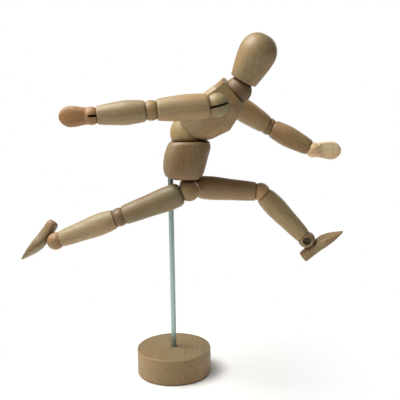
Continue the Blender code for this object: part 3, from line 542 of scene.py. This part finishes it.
# ---------------------------------------------------------------- base and rod
low, high = box("base_disc")
BASE_R, BASE_H = (high.x - low.x) / 2, high.z
BASE_TOP_ROUND, BASE_FOOT_ROUND, HOLE_CHAMFER = 1.3, 1.0, 0.35
low, high = box("support_rod")
ROD_R, ROD_LOW, ROD_HIGH = (high.x - low.x) / 2, low.z, high.z
ROD_HOLE_R, ROD_HOLE_SPARE, ROD_CHAMFER = ROD_R + 0.22, 0.3, 0.4

profile = [(0, ROD_LOW - ROD_HOLE_SPARE), (ROD_HOLE_R, ROD_LOW - ROD_HOLE_SPARE),
           (ROD_HOLE_R, BASE_H - HOLE_CHAMFER), (ROD_HOLE_R + HOLE_CHAMFER, BASE_H)]
profile += [(BASE_R - BASE_TOP_ROUND + BASE_TOP_ROUND * sin(radians(a)),
             BASE_H - BASE_TOP_ROUND + BASE_TOP_ROUND * cos(radians(a))) for a in range(0, 91, 15)]
profile += [(BASE_R - BASE_FOOT_ROUND + BASE_FOOT_ROUND * cos(radians(a)),
             BASE_FOOT_ROUND - BASE_FOOT_ROUND * sin(radians(a))) for a in range(0, 91, 18)]
# the base's top is darkened by painted shade
done(lathe("base_disc_wood", profile + [(0, 0)], 128, UPRIGHT),
     wood("base_wood", (0.59, 0.44, 0.265), seed=2.3, pith=(-34.0, -16.0), spacing=4.2,
          ring=0.36, fleck=0.8, gloss=0.54, across_y=True, top_shade=0.48))

profile = [(0, ROD_HIGH), (ROD_R - ROD_CHAMFER, ROD_HIGH), (ROD_R, ROD_HIGH - ROD_CHAMFER),
           (ROD_R, ROD_LOW + ROD_CHAMFER), (ROD_R - ROD_CHAMFER, ROD_LOW), (0, ROD_LOW)]
done(lathe("support_rod_steel", profile, 48, UPRIGHT),
     steel("rod_steel", (0.315, 0.42, 0.395), roughness=0.30, seed=1.0, across=6.0, along=0.05))

# --------------------------------------------------------------------- pelvis
low, high = box("pelvis")
PELVIS_BOTTOM, PELVIS_TOP = low.z, high.z
PELVIS_HALF_WIDTH = 24.0
# height above the bottom, x of the back, x of the front, share of the half width
PELVIS_SECTIONS = (
    (0.0, 2.0, 24.0, 0.80), (1.1, -1.4, 25.6, 0.89), (3.8, -4.4, 27.4, 0.96),
    (10.0, -5.5, 29.4, 1.0), (18.0, -4.7, 31.6, 0.99), (25.2, -2.5, 33.4, 0.95),
    (28.8, -0.6, 33.0, 0.91), (30.1, 1.2, 31.0, 0.86),
)
# heights of the rings above the bottom, closer together at the rounded ends
PELVIS_LEVELS = (0, 0.2, 0.5, 0.8, 1.1, 1.7, 2.4, 3.1, 3.8, 5.0, 6.5, 8.2, 10, 12, 14, 16, 18, 20,
                 22, 23.8, 25.2, 26.4, 27.4, 28.2, 28.8, 29.3, 29.7, 30.1)
WAIST = joint("waist_turn")
WAIST_FLAT, WAIST_PEG_R, WAIST_PEG = 6.2, 4.0, 9.0  # flat below centre, peg radius and length
HIP_FRAMES = {side: placed(joint("hip_turn_" + side), -UP, axis("leg_raise_" + side))
              for side in SIDES}

rings = []
for level in PELVIS_LEVELS:
    back, front, share = columns_at(PELVIS_SECTIONS, level)
    rings.append(oval((front - back) / 2, PELVIS_HALF_WIDTH * share, PELVIS_BOTTOM + level,
                      count=80, power=3.2, centre_x=(front + back) / 2))
pelvis = soften(loft("pelvis_wood", rings, UPRIGHT), 0.35, 32)
tools = [cylinder(ROD_HOLE_R, PELVIS_BOTTOM - 3, ROD_HIGH + ROD_HOLE_SPARE, UPRIGHT),
         cylinder(WAIST_PEG_R + 0.2, PELVIS_TOP - WAIST_PEG - 0.6, PELVIS_TOP + 3,
                  placed((WAIST.x, 0, 0), UP, LEFT))]
# over each hip a cup, a narrow bore and a wider bore for the spring
for matrix in HIP_FRAMES.values():
    tools += [sphere(HIP_R + GAP, matrix), cylinder(1.3, -16, -6, matrix, 24),
              cylinder(3.1, -32, -14, matrix, 32)]
cut(pelvis, *tools)
done(pelvis, wood("pelvis_wood", (0.42, 0.285, 0.165), seed=4.1, pith=(3.0, -90.0), spacing=1.9,
                  ring=0.26, fleck=0.9))

# ---------------------------------------------------------------------- waist
WAIST_PIN, CHEST_UP, CHEST_LEFT = axis("waist_bend"), axis("chest_turn"), axis("head_nod")
waist_frame = placed(WAIST, UP, WAIST_PIN)
flat_angle = degrees(acos(-WAIST_FLAT / WAIST_R))
peg_end = -WAIST_FLAT - WAIST_PEG
profile = [(0, WAIST_R)] + arc(WAIST_R, 0, 2.5, flat_angle - 1.6, 2.5)
rim = profile[-1][0]
profile += [(rim - 0.25, -WAIST_FLAT + 0.08), (rim - 0.25 - 0.7, -WAIST_FLAT)] if False else [
    (rim - 0.25, -WAIST_FLAT + 0.08), (rim - 0.7, -WAIST_FLAT)]
profile += [(WAIST_PEG_R, -WAIST_FLAT), (WAIST_PEG_R, peg_end + 0.5),
            (WAIST_PEG_R - 0.5, peg_end), (0, peg_end)]
ball = lathe("waist_ball_wood", profile, BIG_BALL_STEPS, waist_frame)
cut(ball, sector_slot(waist_frame, SLOT_HALF + 0.2, 20, (5.0, 62.0)),
    cross_cylinder(PIN_HOLE_R + 0.2, -8.3, 8.3, waist_frame))
done(ball, wood("waist_wood", (0.55, 0.41, 0.225), seed=6.7, pith=(-24.0, 18.0), spacing=3.4,
                ring=0.22, fleck=0.5))

# ---------------------------------------------------------------------- chest
NECK = joint("neck_turn")
NECK_PEG_R, NECK_PEG_END = 3.5, 12.5
SHOULDER_OUT = 29.0  # half length of the bore that joins the shoulders
# height above the waist, back, front, half width, depth and width of the front corner bevels
CHEST_SECTIONS = (
    (3.4, -17.4, 8.4, 16.4, 4.0, 4.6), (7.4, -17.6, 12.0, 17.6, 4.8, 5.2),
    (13.0, -17.5, 15.0, 19.0, 5.6, 5.8), (28.6, -16.7, 19.0, 21.4, 7.0, 7.0),
    (38.2, -15.8, 16.2, 22.3, 8.5, 8.0), (42.6, -15.2, 14.2, 22.2, 9.0, 8.6),
    (49.1, -15.4, 11.4, 14.6, 6.0, 5.0), (49.7, -14.8, 10.6, 13.6, 5.4, 4.6),
)
BACK_BEVEL_DEPTH, BACK_BEVEL_WIDTH = 3.0, 3.4
chest_frame = placed(WAIST, CHEST_UP, CHEST_LEFT)
neck_frame = placed(NECK, CHEST_UP, CHEST_LEFT)
SHOULDERS = {side: joint("shoulder_turn_" + side) for side in SIDES}
shoulder_mid = (SHOULDERS["right"] + SHOULDERS["left"]) / 2
cross_frame = placed(shoulder_mid, CHEST_LEFT, CHEST_UP)
SHOULDER_FRAMES = {side: placed(centre, (centre - shoulder_mid).normalized(),
                                axis("arm_raise_" + side)) for side, centre in SHOULDERS.items()}

rings = []
for up, back, front, half, depth, width in CHEST_SECTIONS:
    left_half = [(front, half - width), (front - depth, half), (back + BACK_BEVEL_DEPTH, half),
                 (back, half - BACK_BEVEL_WIDTH)]
    rings.append([(x, y, up) for x, y in left_half] + [(x, -y, up) for x, y in left_half[::-1]])
chest = soften(loft("chest_wood", rings, chest_frame), 0.75, 14, 3)
cut(chest,
    sphere(WAIST_R + GAP, chest_frame, BIG_BALL_STEPS), sphere(NECK_R + GAP, neck_frame),
    cylinder(1.5, 10, 22, chest_frame), cylinder(3.6, 19.5, 32, chest_frame),
    cylinder(NECK_PEG_R + 0.2, -NECK_PEG_END - 0.4, 0, neck_frame),
    cylinder(2.7, -SHOULDER_OUT, SHOULDER_OUT, cross_frame),
    *(sphere(SHOULDER_R + GAP, matrix) for matrix in SHOULDER_FRAMES.values()))
done(chest, wood("chest_wood", (0.53, 0.39, 0.225), seed=8.9, pith=(-46.0, 14.0), spacing=3.0,
                 ring=0.20, fleck=0.6), 24)


# ----------------------------------------------------------------------- links
def pinned_wire(name, pin_half, points, matrix, wire_r=WIRE_R, pin_r=PIN_R):
    """A cross pin with a wire that leaves it along points."""
    link = cross_cylinder(pin_r, -pin_half, pin_half, matrix, 24, name)
    cut(link, wire("tool", smooth_path(points), wire_r, matrix), union=True)
    done(link, LINK)


def stem_link(name, pin_half, length, matrix, pin_r=PIN_R):
    """A thicker link for the waist and the neck, bent square at its end."""
    points = [(0, 0, 0), (0, 0, length * 0.5), (0, 0, length - 1.2), (0.35, 0, length + 0.2),
              (1.3, 0, length + 0.6), (2.4, 0, length + 0.6)]
    pinned_wire(name, pin_half, points, matrix, WIRE_R + 0.1, pin_r)


def hook_tip(toward, length, offset):
    return [(0.05, offset, toward * (length - 1.9)), (0.75, offset, toward * (length - 0.9)),
            (0.9, offset, toward * length)]


def hook_link(name, pin_half, toward, length, matrix, offset=0.0):
    """toward is 1 or -1: the way the wire runs along Z."""
    points = [(0, offset, 0), (0, offset, toward * (length * 0.5))]
    pinned_wire(name, pin_half, points + hook_tip(toward, length, offset), matrix)


def eye_link(name, length, matrix, offset):
    """A wire along +Z that begins as an eye round the joint's pin."""
    eye = PIN_R + WIRE_R + 0.25
    points = [(eye * sin(radians(a)), offset, eye * cos(radians(a))) for a in range(25, 346, 20)]
    points += [(0.0, offset, eye + 1.3), (0, offset, length * 0.6)]
    points += hook_tip(1, length, offset)
    done(wire(name, smooth_path(points, 4), WIRE_R - 0.05, matrix), LINK)


stem_link("waist_link_steel", 8.0, 27.2, placed(WAIST, CHEST_UP, WAIST_PIN), PIN_R + 0.2)
done(wire("waist_spring_steel", helix(2.5, 20.1, 26.4, 3.0), 0.4, chest_frame), SPRING)

# ------------------------------------------------------------------ neck, head
HEAD_SEAT, HEAD_LENGTH, HEAD_BASE_R, HEAD_R = 8.6, 39.0, 10.8, 15.0
HEAD_WIDEST = HEAD_LENGTH * 0.62  # above the seat
HEAD_BORE_R, HEAD_POCKET_R, HEAD_POCKET_LOW, HEAD_POCKET_HIGH = 1.5, 3.1, 13.8, 26.0

profile = [(0, NECK_R)] + arc(NECK_R, 0, 3, 161.0, 3) + [
    (NECK_PEG_R, -NECK_PEG_END + 0.4), (NECK_PEG_R - 0.4, -NECK_PEG_END), (0, -NECK_PEG_END)]
ball = lathe("neck_ball_wood", profile, BALL_STEPS, neck_frame)
cut(ball, sector_slot(neck_frame, SLOT_HALF, 14, (-8.0, 62.0)),
    cross_cylinder(PIN_HOLE_R, -6.2, 6.2, neck_frame))
done(ball, wood("neck_wood", (0.30, 0.175, 0.085), seed=1.9, pith=(14.0, 11.0), spacing=1.8,
                ring=0.30, fleck=0.8))

head_frame = placed(NECK, square_to(centroid("head") - NECK, CHEST_LEFT), CHEST_LEFT)
cup = NECK_R + GAP
profile = [(0, HEAD_SEAT + HEAD_LENGTH)]
for i in range(1, 37):
    angle = radians(2.5 * i)
    profile.append((HEAD_R * sin(angle) ** 0.86,
                    HEAD_SEAT + HEAD_WIDEST + (HEAD_LENGTH - HEAD_WIDEST) * cos(angle)))
for i in range(29, 0, -1):
    t = i / 30
    profile.append((HEAD_BASE_R + (HEAD_R - HEAD_BASE_R) * (1.3 * t - 0.3 * t ** 4),
                    HEAD_SEAT + HEAD_WIDEST * t))
profile += [(HEAD_BASE_R - 0.02, HEAD_SEAT + 0.32), (HEAD_BASE_R - 0.22, HEAD_SEAT + 0.08),
            (HEAD_BASE_R - 0.5, HEAD_SEAT)]
profile += arc(cup, 0, degrees(acos(HEAD_SEAT / cup)), degrees(asin(HEAD_BORE_R / cup)), 4)
profile += [(HEAD_BORE_R, HEAD_POCKET_LOW), (HEAD_POCKET_R, HEAD_POCKET_LOW),
            (HEAD_POCKET_R, HEAD_POCKET_HIGH), (0, HEAD_POCKET_HIGH)]
done(lathe("head_wood", profile, BIG_BALL_STEPS, head_frame),
     wood("head_wood", (0.48, 0.35, 0.20), seed=3.3, pith=(-30.0, 26.0), spacing=3.8,
          ring=0.26, fleck=0.8))
stem_link("neck_link_steel", 5.9, 22.0, head_frame)
done(wire("neck_spring_steel", helix(2.2, 14.4, 21.3, 3.0), 0.38, head_frame), SPRING)

# ----------------------------------------------------------------------- limbs
# near and far: ball radius, rim from the joint, radius of the cup's mouth, where the bore begins
# outline: share of the way from the near rim to the far one, radius
# spring: start from the near joint, end from the far joint, turns
LIMBS = {
    "upper_arm": dict(
        near=(SHOULDER_R, 6.2, 4.1, 14.5), far=(ELBOW_R, 4.45, 2.8, 9.0), bore=2.8,
        outline=((0, 7.7), (0.05, 9.2), (0.12, 9.6), (0.4, 10.05), (0.72, 9.3), (0.97, 8.2),
                 (1, 7.9)),
        spring=(16.4, SPRING_START, 6.0)),
    "forearm": dict(
        near=(ELBOW_R, 4.45, 2.9, 9.0), far=(WRIST_R, 4.0, 4.5, 11.5), bore=2.9,
        outline=((0, 7.6), (0.04, 8.0), (0.2, 8.75), (0.4, 9.2), (0.66, 8.4), (0.97, 6.9),
                 (1, 6.6)),
        spring=(SPRING_START, 12.1, 6.0)),
    "thigh": dict(
        near=(HIP_R, 6.7, 2.8, 10.0), far=(KNEE_R, 4.2, 2.8, 9.0), bore=2.8,
        outline=((0, 7.6), (0.04, 9.1), (0.1, 9.8), (0.24, 10.0), (0.55, 9.1), (0.97, 7.9),
                 (1, 7.6)),
        spring=(SPRING_START, SPRING_START, 8.0)),
    "shin": dict(
        near=(KNEE_R, 4.2, 2.9, 9.0), far=(ANKLE_R, 4.5, 2.9, 9.0), bore=2.9,
        outline=((0, 7.5), (0.03, 7.9), (0.12, 8.6), (0.27, 9.0), (0.6, 8.0), (0.97, 6.6),
                 (1, 6.3)),
        spring=(SPRING_START, 11.8, 8.0)),
}
LIMB_ROUND = 0.35  # sanding of each rim


def limb(part, side, length, matrix, material):
    """A turned, bored limb between two cups, with its near joint at the origin."""
    sizes = LIMBS[part]
    bore, edge = sizes["bore"], LIMB_ROUND
    near_ball, near_rim, near_mouth, near_bore = sizes["near"]
    far_ball, far_rim, far_mouth, far_bore = sizes["far"]
    low, high = near_rim, length - far_rim
    shares = [k / LIMB_LEVELS for k in range(LIMB_LEVELS + 1)]
    outer = [(columns_at(sizes["outline"], t)[0], low + (high - low) * t) for t in shares]
    low_r, high_r = outer[0][0], outer[-1][0]
    body = [(radius, z) for radius, z in outer if low + edge < z < high - edge]
    top = [(high_r - edge, high), (high_r - 0.3 * edge, high - 0.25 * edge), (high_r, high - edge)]
    foot = [(low_r, low + edge), (low_r - 0.3 * edge, low + 0.25 * edge), (low_r - edge, low)]
    cup = near_ball + GAP
    near = arc(cup, 0, degrees(asin(near_mouth / cup)), degrees(acos(near_rim / cup)), 5)
    cup = far_ball + GAP
    far = arc(cup, length, 180 - degrees(acos(far_rim / cup)),
              180 - degrees(asin(far_mouth / cup)), 5)
    inner = near[::-1] + [(bore, near_bore), (bore, length - far_bore)] + far[::-1]
    profile = top + body[::-1] + foot + inner
    done(lathe(f"{part}_{side}_wood", profile, LIMB_STEPS, matrix), material)


def limb_spring(part, side, length, matrix):
    start, end, turns = LIMBS[part]["spring"]
    coil = helix(SPRING_R, start, length - end, turns)
    done(wire(f"{part}_spring_{side}_steel", coil, SPRING_WIRE_R, matrix), SPRING)


def socket_ball(name, radius, matrix, swing, pin_half, material):
    """A shoulder or hip ball: slotted outside, drilled inside for its spring's beaded end."""
    ball = sphere(radius, matrix, name=name)
    cut(ball, sector_slot(matrix, SLOT_HALF, 12, (0.0, swing)),
        cross_cylinder(PIN_HOLE_R, -pin_half, pin_half, matrix),
        cylinder(0.55, -6.0, -1.0, matrix, 20), cylinder(1.4, -11.0, -5.2, matrix, 24))
    done(ball, material)


def hinge(part, side, upper, lower, radius, swing, material):
    """An elbow or knee: a ball slotted on both sides and the two wires that meet on its pin.

    upper and lower are the directions of the limbs above and below it."""
    centre, pin = joint(f"{part}_{side}"), axis(f"{part}_{side}")
    matrix = placed(centre, upper + lower, pin)
    ball = sphere(radius, matrix, name=f"{part}_ball_{side}_wood")
    cut(ball, sector_slot(matrix, DOUBLE_SLOT_HALF, 10, (0, swing), (180, swing)),
        cross_cylinder(PIN_HOLE_R, -5.3, 5.3, matrix))
    done(ball, material)
    hook_link(f"{part}_upper_link_{side}_steel", 5.0, -1, HOOK_AT, placed(centre, upper, pin),
              WIRE_OFFSET)
    eye_link(f"{part}_lower_link_{side}_steel", HOOK_AT, placed(centre, lower, pin), -WIRE_OFFSET)


PITHS = ((-15, 10), (22, -12), (-9, -20), (12, 16), (-28, 4), (8, -11))


def woods(side, seed, **colours):
    """One wood for each named piece of a limb, each with its own rings."""
    made = {}
    for i, (part, colour) in enumerate(colours.items()):
        made[part] = wood(f"{part}_{side}", colour, seed=seed + 1.7 * i,
                          pith=PITHS[(i + seed) % 6], spacing=2.0 + 0.35 * ((i * 2 + seed) % 5),
                          ring=0.20, fleck=0.6, worn=0.0 if part in ("foot", "hand") else 0.30)
    return made


# ----------------------------------------------------------------------- hands
HAND_START, HAND_LENGTH, HAND_HALF_WIDTH, HAND_HALF_THICK, PALM_FLAT = 1.5, 23.6, 7.9, 4.8, 2.3
# distance from the wrist, share of the half width, share of the half thickness
HAND_SECTIONS = (
    (HAND_START, 0.78, 0.96), (4.5, 0.81, 0.98), (8.0, 0.88, 1.0), (12.0, 0.97, 1.0),
    (16.0, 0.99, 0.90), (19.6, 0.83, 0.70), (22.4, 0.49, 0.42), (HAND_LENGTH, 0.20, 0.22),
)
# heading along X, side along Y, elevation and outward swing in degrees
HAND_AIM = {"right": (-1, -1, -1.0, 8.0), "left": (1, 1, -2.0, -13.0)}
# middle and half angle of each wrist's saw cut; the right one does not reach the far side
WRIST_SLOT = {"right": (149, 81), "left": (180, 112)}


def hand_direction(side):
    heading, outward, elevation, swing = HAND_AIM[side]
    rise, turn = radians(elevation), radians(swing)
    return Vector((heading * cos(rise) * cos(turn), outward * sin(turn), sin(rise)))


def hand(name, matrix, palm_frame, window):
    """A ball that runs out into a paddle: planed flat on the palm and rounded behind."""
    ball = sphere(WRIST_R, matrix, name=name)
    rings = []
    for i in range(45):
        z = HAND_START + (HAND_LENGTH - HAND_START) * sin(pi / 2 * i / 44) ** 0.9
        wide, thick = columns_at(HAND_SECTIONS, z)
        ring = oval(HAND_HALF_THICK * thick, HAND_HALF_WIDTH * wide, z, count=48, power=2.2)
        # the palm's plane falls away toward the wrist, and its two edges are sanded round
        flat = -PALM_FLAT * min(1.0, thick + 0.1) - max(0.0, 7.0 - z) * 0.9
        edge = flat + 0.5
        rings.append([(x if x > edge else flat + 0.5 * (2 ** ((x - flat - 0.5) * 1.2) - 1.0), y, z)
                      for x, y, z in ring])
    cut(ball, loft("tool", rings, palm_frame), union=True)
    # the saw cut ends beside the wire's last position, half a wire and a little play further on
    last = radians(sum(window))
    along, beside = Vector((sin(last), cos(last))), Vector((cos(last), -sin(last)))
    corners = ((0.0, 0.62), (9.0, 0.62), (9.0, -1.5), (0.0, -1.5))
    end = [tuple(along * a + beside * b) for a, b in corners]
    return cut(ball, sector_slot(matrix, SLOT_HALF, 9, window, core=2.2),
               prism(end, SLOT_HALF - 0.05, matrix),
               cross_cylinder(PIN_HOLE_R, -4.9, 4.9, matrix))


# ------------------------------------------------------------------------ arms
def arm(side, tones):
    shoulder, elbow, wrist = SHOULDERS[side], joint("elbow_" + side), joint("wrist_" + side)
    upper, fore = (elbow - shoulder).normalized(), (wrist - elbow).normalized()
    pin = axis("arm_raise_" + side)
    socket_ball(f"shoulder_ball_{side}_wood", SHOULDER_R, SHOULDER_FRAMES[side], 84.0, 5.7,
                tones["shoulder"])
    hook_link(f"shoulder_link_{side}_steel", 5.4, 1, 12.8,
              placed(shoulder, square_to(upper, pin), pin))

    elbow_pin = axis("elbow_" + side)
    upper_frame, fore_frame = placed(shoulder, upper, elbow_pin), placed(elbow, fore, elbow_pin)
    length = (elbow - shoulder).length
    limb("upper_arm", side, length, upper_frame, tones["upper"])
    hinge("elbow", side, upper, fore, ELBOW_R, 44, tones["elbow"])
    limb_spring("upper_arm", side, length, upper_frame)
    length = (wrist - elbow).length
    limb("forearm", side, length, fore_frame, tones["fore"])
    limb_spring("forearm", side, length, fore_frame)

    pointing = hand_direction(side)
    hand_frame = placed(wrist, pointing, axis("wrist_" + side))
    outward = Vector((0, -1 if side == "right" else 1, 0))
    palm_frame = placed(wrist, pointing, pointing.cross(outward))
    done(hand(f"hand_{side}_wood", hand_frame, palm_frame, WRIST_SLOT[side]), tones["hand"])
    # the wire leaves the hand's ball straight, then turns into the forearm
    back = hand_frame.to_3x3().transposed() @ (-fore)
    path = [(0, 0, 0), (0, 0, -WRIST_R * 0.5), (0, 0, -WRIST_R - 0.1), back * 10.2, back * 11.2]
    pinned_wire(f"wrist_link_{side}_steel", 4.6, path, hand_frame)


arm("right", woods("right", 2, shoulder=(0.50, 0.40, 0.23), upper=(0.60, 0.445, 0.27),
                   elbow=(0.49, 0.345, 0.163), fore=(0.50, 0.39, 0.245), hand=(0.53, 0.285, 0.12)))
# the left hand's colour is raised well above the rest as painted light on its palm
arm("left", woods("left", 5, shoulder=(0.54, 0.42, 0.25), upper=(0.61, 0.42, 0.235),
                  elbow=(0.50, 0.33, 0.18), fore=(0.49, 0.33, 0.175), hand=(1.28, 0.98, 0.68)))

# one wire joins the shoulders, coiled in the middle and beaded at both ends
inner = SHOULDER_OUT - 2.0
stem = [(0, 0, -inner), (0, 0, -inner + 1.0), (0, 0, -inner + 1.3), (0, 0, -20.0), (0, 0, -12.0),
        (0.8, 0, -10.6)]
stem += helix(SPRING_R, -9.0, 9.0, 4.0) + [(x, y, -z) for x, y, z in stem[::-1]]
beads = [BEAD, BEAD] + [1.0] * (len(stem) - 4) + [BEAD, BEAD]
done(wire("shoulder_spring_steel", stem, SPRING_WIRE_R, cross_frame, beads), SPRING)

# ------------------------------------------------------------------------ feet
FOOT_DROP = 15.0  # from the ankle to the sole
FOOT_AHEAD, FOOT_BEHIND = 27.4, 12.4
# distance from the back, height, half width, lift: sanded round on the right, nearly square left
HEELS = {"right": ((0.0, 3.4, 2.3, 2.2), (0.35, 5.2, 3.5, 1.4), (1.1, 6.8, 4.5, 0.65),
                   (2.4, 7.9, 5.1, 0.15)),
         "left": ((0.0, 7.0, 4.3, 0.5), (0.8, 8.0, 5.0, 0.0))}
# distance ahead of the ankle, height, half width, lift
FOOT_SECTIONS = (
    (-FOOT_BEHIND + 4.0, 8.2, 5.4, 0.0), (-4.4, 8.6, 5.2, 0.0), (4.4, 8.8, 5.5, 0.0),
    (10.0, 8.3, 6.7, 0.0), (16.5, 6.1, 6.1, 0.0), (23.2, 2.8, 3.5, 0.0),
    (FOOT_AHEAD, 0.8, 1.0, 0.0),
)
FOOT_STOPS = (
    -FOOT_BEHIND, -12.25, -12.0, -11.6, -11.0, -10.2, -9.2, -8.4, -6.4, -4.4, -2.4, 0, 2.2, 4.4,
    5.6, 6.8, 8.0, 9.0, 10, 11.2, 12.4, 13.6, 15.0, 16.5, 17.8, 19.2, 20.6, 22.0, 23.2, 24.4, 25.4,
    26.2, 26.9, FOOT_AHEAD,
)


def foot(name, matrix, side):
    """Local Z runs to the toe, local X is up from the sole and local Y across."""
    heel = tuple((z - FOOT_BEHIND, *sizes) for z, *sizes in HEELS[side])
    rings = []
    for stop in FOOT_STOPS:
        tall, half, lift = columns_at(heel + FOOT_SECTIONS, stop)
        rings.append(oval(tall / 2, half, stop, count=40, power=3.0,
                          centre_x=-FOOT_DROP + lift + tall / 2))
    return soften(loft(name, rings, matrix), 0.25, 50)


# ------------------------------------------------------------------------ legs
HIP_WIRE_TOP, HIP_LEDGE, HIP_SPRING_R = -30.6, -14.7, 2.2


def leg(side, tones):
    hip, knee, ankle = (joint(part + side) for part in ("hip_turn_", "knee_", "ankle_"))
    thigh, shin = (knee - hip).normalized(), (ankle - knee).normalized()
    hip_frame = HIP_FRAMES[side]
    socket_ball(f"hip_ball_{side}_wood", HIP_R, hip_frame, 99.0, 5.5, tones["hip"])
    # a straight wire up from the ball, and a coil that comes back down round it
    draw = [(0, 0, -1.9), (0, 0, -2.9), (0, 0, -3.2), (0, 0, -12.0), (0, 0, HIP_WIRE_TOP + 0.8),
            (0.9, 0, HIP_WIRE_TOP), (2.1, 0.1, HIP_WIRE_TOP)]
    draw += helix(HIP_SPRING_R, HIP_WIRE_TOP + 0.9, HIP_LEDGE, 4.0, radians(60))
    beads = [BEAD, BEAD] + [1.0] * (len(draw) - 2)
    done(wire(f"hip_spring_{side}_steel", draw, SPRING_WIRE_R, hip_frame, beads), SPRING)
    hook_link(f"hip_link_{side}_steel", 5.2, 1, HOOK_AT,
              placed(hip, thigh, axis("leg_raise_" + side)))

    knee_pin = axis("knee_" + side)
    thigh_frame, shin_frame = placed(hip, thigh, knee_pin), placed(knee, shin, knee_pin)
    length = (knee - hip).length
    limb("thigh", side, length, thigh_frame, tones["thigh"])
    limb_spring("thigh", side, length, thigh_frame)
    hinge("knee", side, thigh, shin, KNEE_R, 46, tones["knee"])
    length = (ankle - knee).length
    limb("shin", side, length, shin_frame, tones["shin"])
    limb_spring("shin", side, length, shin_frame)

    # the ankle ball has a round recess in its inner side
    ankle_pin = axis("ankle_" + side)
    ankle_frame = placed(ankle, shin, ankle_pin)
    inward = (1 if side == "right" else -1) * (1 if ankle_pin.y > 0 else -1)
    ball = sphere(ANKLE_R, ankle_frame, name=f"ankle_ball_{side}_wood")
    start, end = sorted((inward * 2.7, inward * 9.0))
    cut(ball, sector_slot(ankle_frame, SLOT_HALF, 9, (180, 58), core=2.4),
        cross_cylinder(3.4, start, end, ankle_frame, 40),
        cross_cylinder(PIN_HOLE_R, -4.6, 4.6, ankle_frame))
    done(ball, tones["ankle"])
    hook_link(f"ankle_link_{side}_steel", 4.2, -1, 11.0, ankle_frame)

    toe = axis("foot_rock_" + side)
    down = square_to(centroid("foot_" + side) - ankle, toe)
    shoe = foot(f"foot_{side}_wood", placed(ankle, toe, toe.cross(-down)), side)
    cut(shoe, sphere(ANKLE_R + GAP, ankle_frame))
    done(shoe, tones["foot"], 32)


# the right thigh's darker colour is a painted shadow from the trunk, and the right knee's dark colour is painted
# shade
leg("right", woods("right", 3, hip=(0.50, 0.355, 0.20), thigh=(0.37, 0.295, 0.172),
                   knee=(0.31, 0.20, 0.106), shin=(0.55, 0.43, 0.275), ankle=(0.50, 0.32, 0.18),
                   foot=(0.40, 0.275, 0.155)))
leg("left", woods("left", 7, hip=(0.48, 0.33, 0.18), thigh=(0.53, 0.36, 0.21),
                  knee=(0.80, 0.51, 0.28), shin=(0.62, 0.46, 0.275), ankle=(0.46, 0.32, 0.18),
                  foot=(0.56, 0.40, 0.235)))

# ----------------------------------------------------------------------- floor
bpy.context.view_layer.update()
scene = bpy.context.scene


def paper():
    """Matt white paper that brightens into the backdrop with distance, in metres."""
    g = Graph("floor_paper")
    where = g.node("TexCoord").outputs["Object"]
    tooth = g.remap(g.noise(where, across=900.0, along=900.0, detail=3.0), 0.35, 0.65)
    white = g.mix(tooth, (0.86, 0.86, 0.85), (0.90, 0.90, 0.89))
    g.feed_named(g.shader, Base_Color=white, Roughness=0.92, Specular_IOR_Level=0.1)
    fade = g.remap(g.vector("LENGTH", where, output="Value"), start=0.04, full=0.17)
    glow = g.node("Emission", Color=(1.0, 1.0, 1.0), Strength=1.0)
    seen = g.node("LightPath").outputs["Is Camera Ray"]
    blended = g.node("MixShader", g.math("MULTIPLY", fade, seen), g.shader.outputs[0],
                     glow.outputs[0])
    g.feed(g.tree.nodes["Material Output"].inputs["Surface"], blended.outputs[0])
    return g.material


bm = bmesh.new()
bmesh.ops.create_grid(bm, x_segments=8, y_segments=8, size=6.0)
floor_mesh = bpy.data.meshes.new("floor")
bm.to_mesh(floor_mesh)
bm.free()
floor = bpy.data.objects.new("floor", floor_mesh)
scene.collection.objects.link(floor)
floor.location = (0, 0, -0.0001)
floor.data.materials.append(paper())

# ----------------------------------------------- world, lights, camera (metres)
WORLD_LIGHT, WORLD_SEEN = 0.20, 1.0  # strength as a light and as the camera sees it
world = bpy.data.worlds.new("studio")
scene.world = world
world.use_nodes = True
tree = world.node_tree
background = tree.nodes["Background"]
background.inputs["Color"].default_value = (1.0, 1.0, 1.0, 1.0)
rays = tree.nodes.new("ShaderNodeLightPath")
strength = tree.nodes.new("ShaderNodeMapRange")
strength.inputs["To Min"].default_value = WORLD_LIGHT
strength.inputs["To Max"].default_value = WORLD_SEEN
tree.links.new(rays.outputs["Is Camera Ray"], strength.inputs["Value"])
tree.links.new(strength.outputs[0], background.inputs["Strength"])

LIGHT_TARGET = Vector((0.02, 0.0, 0.15))
# name, place, width and height, power in watts
SOFTBOXES = (
    ("top_softbox", (-0.36, -0.06, 0.86), (0.62, 0.56), 13.2),
    ("left_softbox", (-0.85, -0.45, 0.60), (0.5, 0.5), 1.2),
    ("back_softbox", (0.55, 0.85, 0.55), (0.6, 0.6), 3.0),
)
for name, place, size, power in SOFTBOXES:
    light = bpy.data.lights.new(name, "AREA")
    light.shape = "RECTANGLE"
    light.size, light.size_y = size
    light.energy = power
    light.color = (1.0, 0.985, 0.96)
    lamp = bpy.data.objects.new(name, light)
    scene.collection.objects.link(lamp)
    lamp.location = place
    lamp.rotation_euler = (LIGHT_TARGET - Vector(place)).to_track_quat("-Z", "Y").to_euler()

CAMERA_AT = (0.0242, -0.5, 0.226)
CAMERA_TILT, CAMERA_ROLL = radians(81.26), radians(-0.8)
camera = bpy.data.objects.new("camera", bpy.data.cameras.new("camera"))
scene.collection.objects.link(camera)
camera.data.sensor_width = 36.0
camera.data.lens = 54.72
camera.data.clip_start, camera.data.clip_end = 0.01, 50.0
camera.matrix_world = (Matrix.Translation(CAMERA_AT) @ Matrix.Rotation(CAMERA_TILT, 4, "X")
                       @ Matrix.Rotation(CAMERA_ROLL, 4, "Z"))
scene.camera = camera
scene.view_settings.view_transform = "Standard"
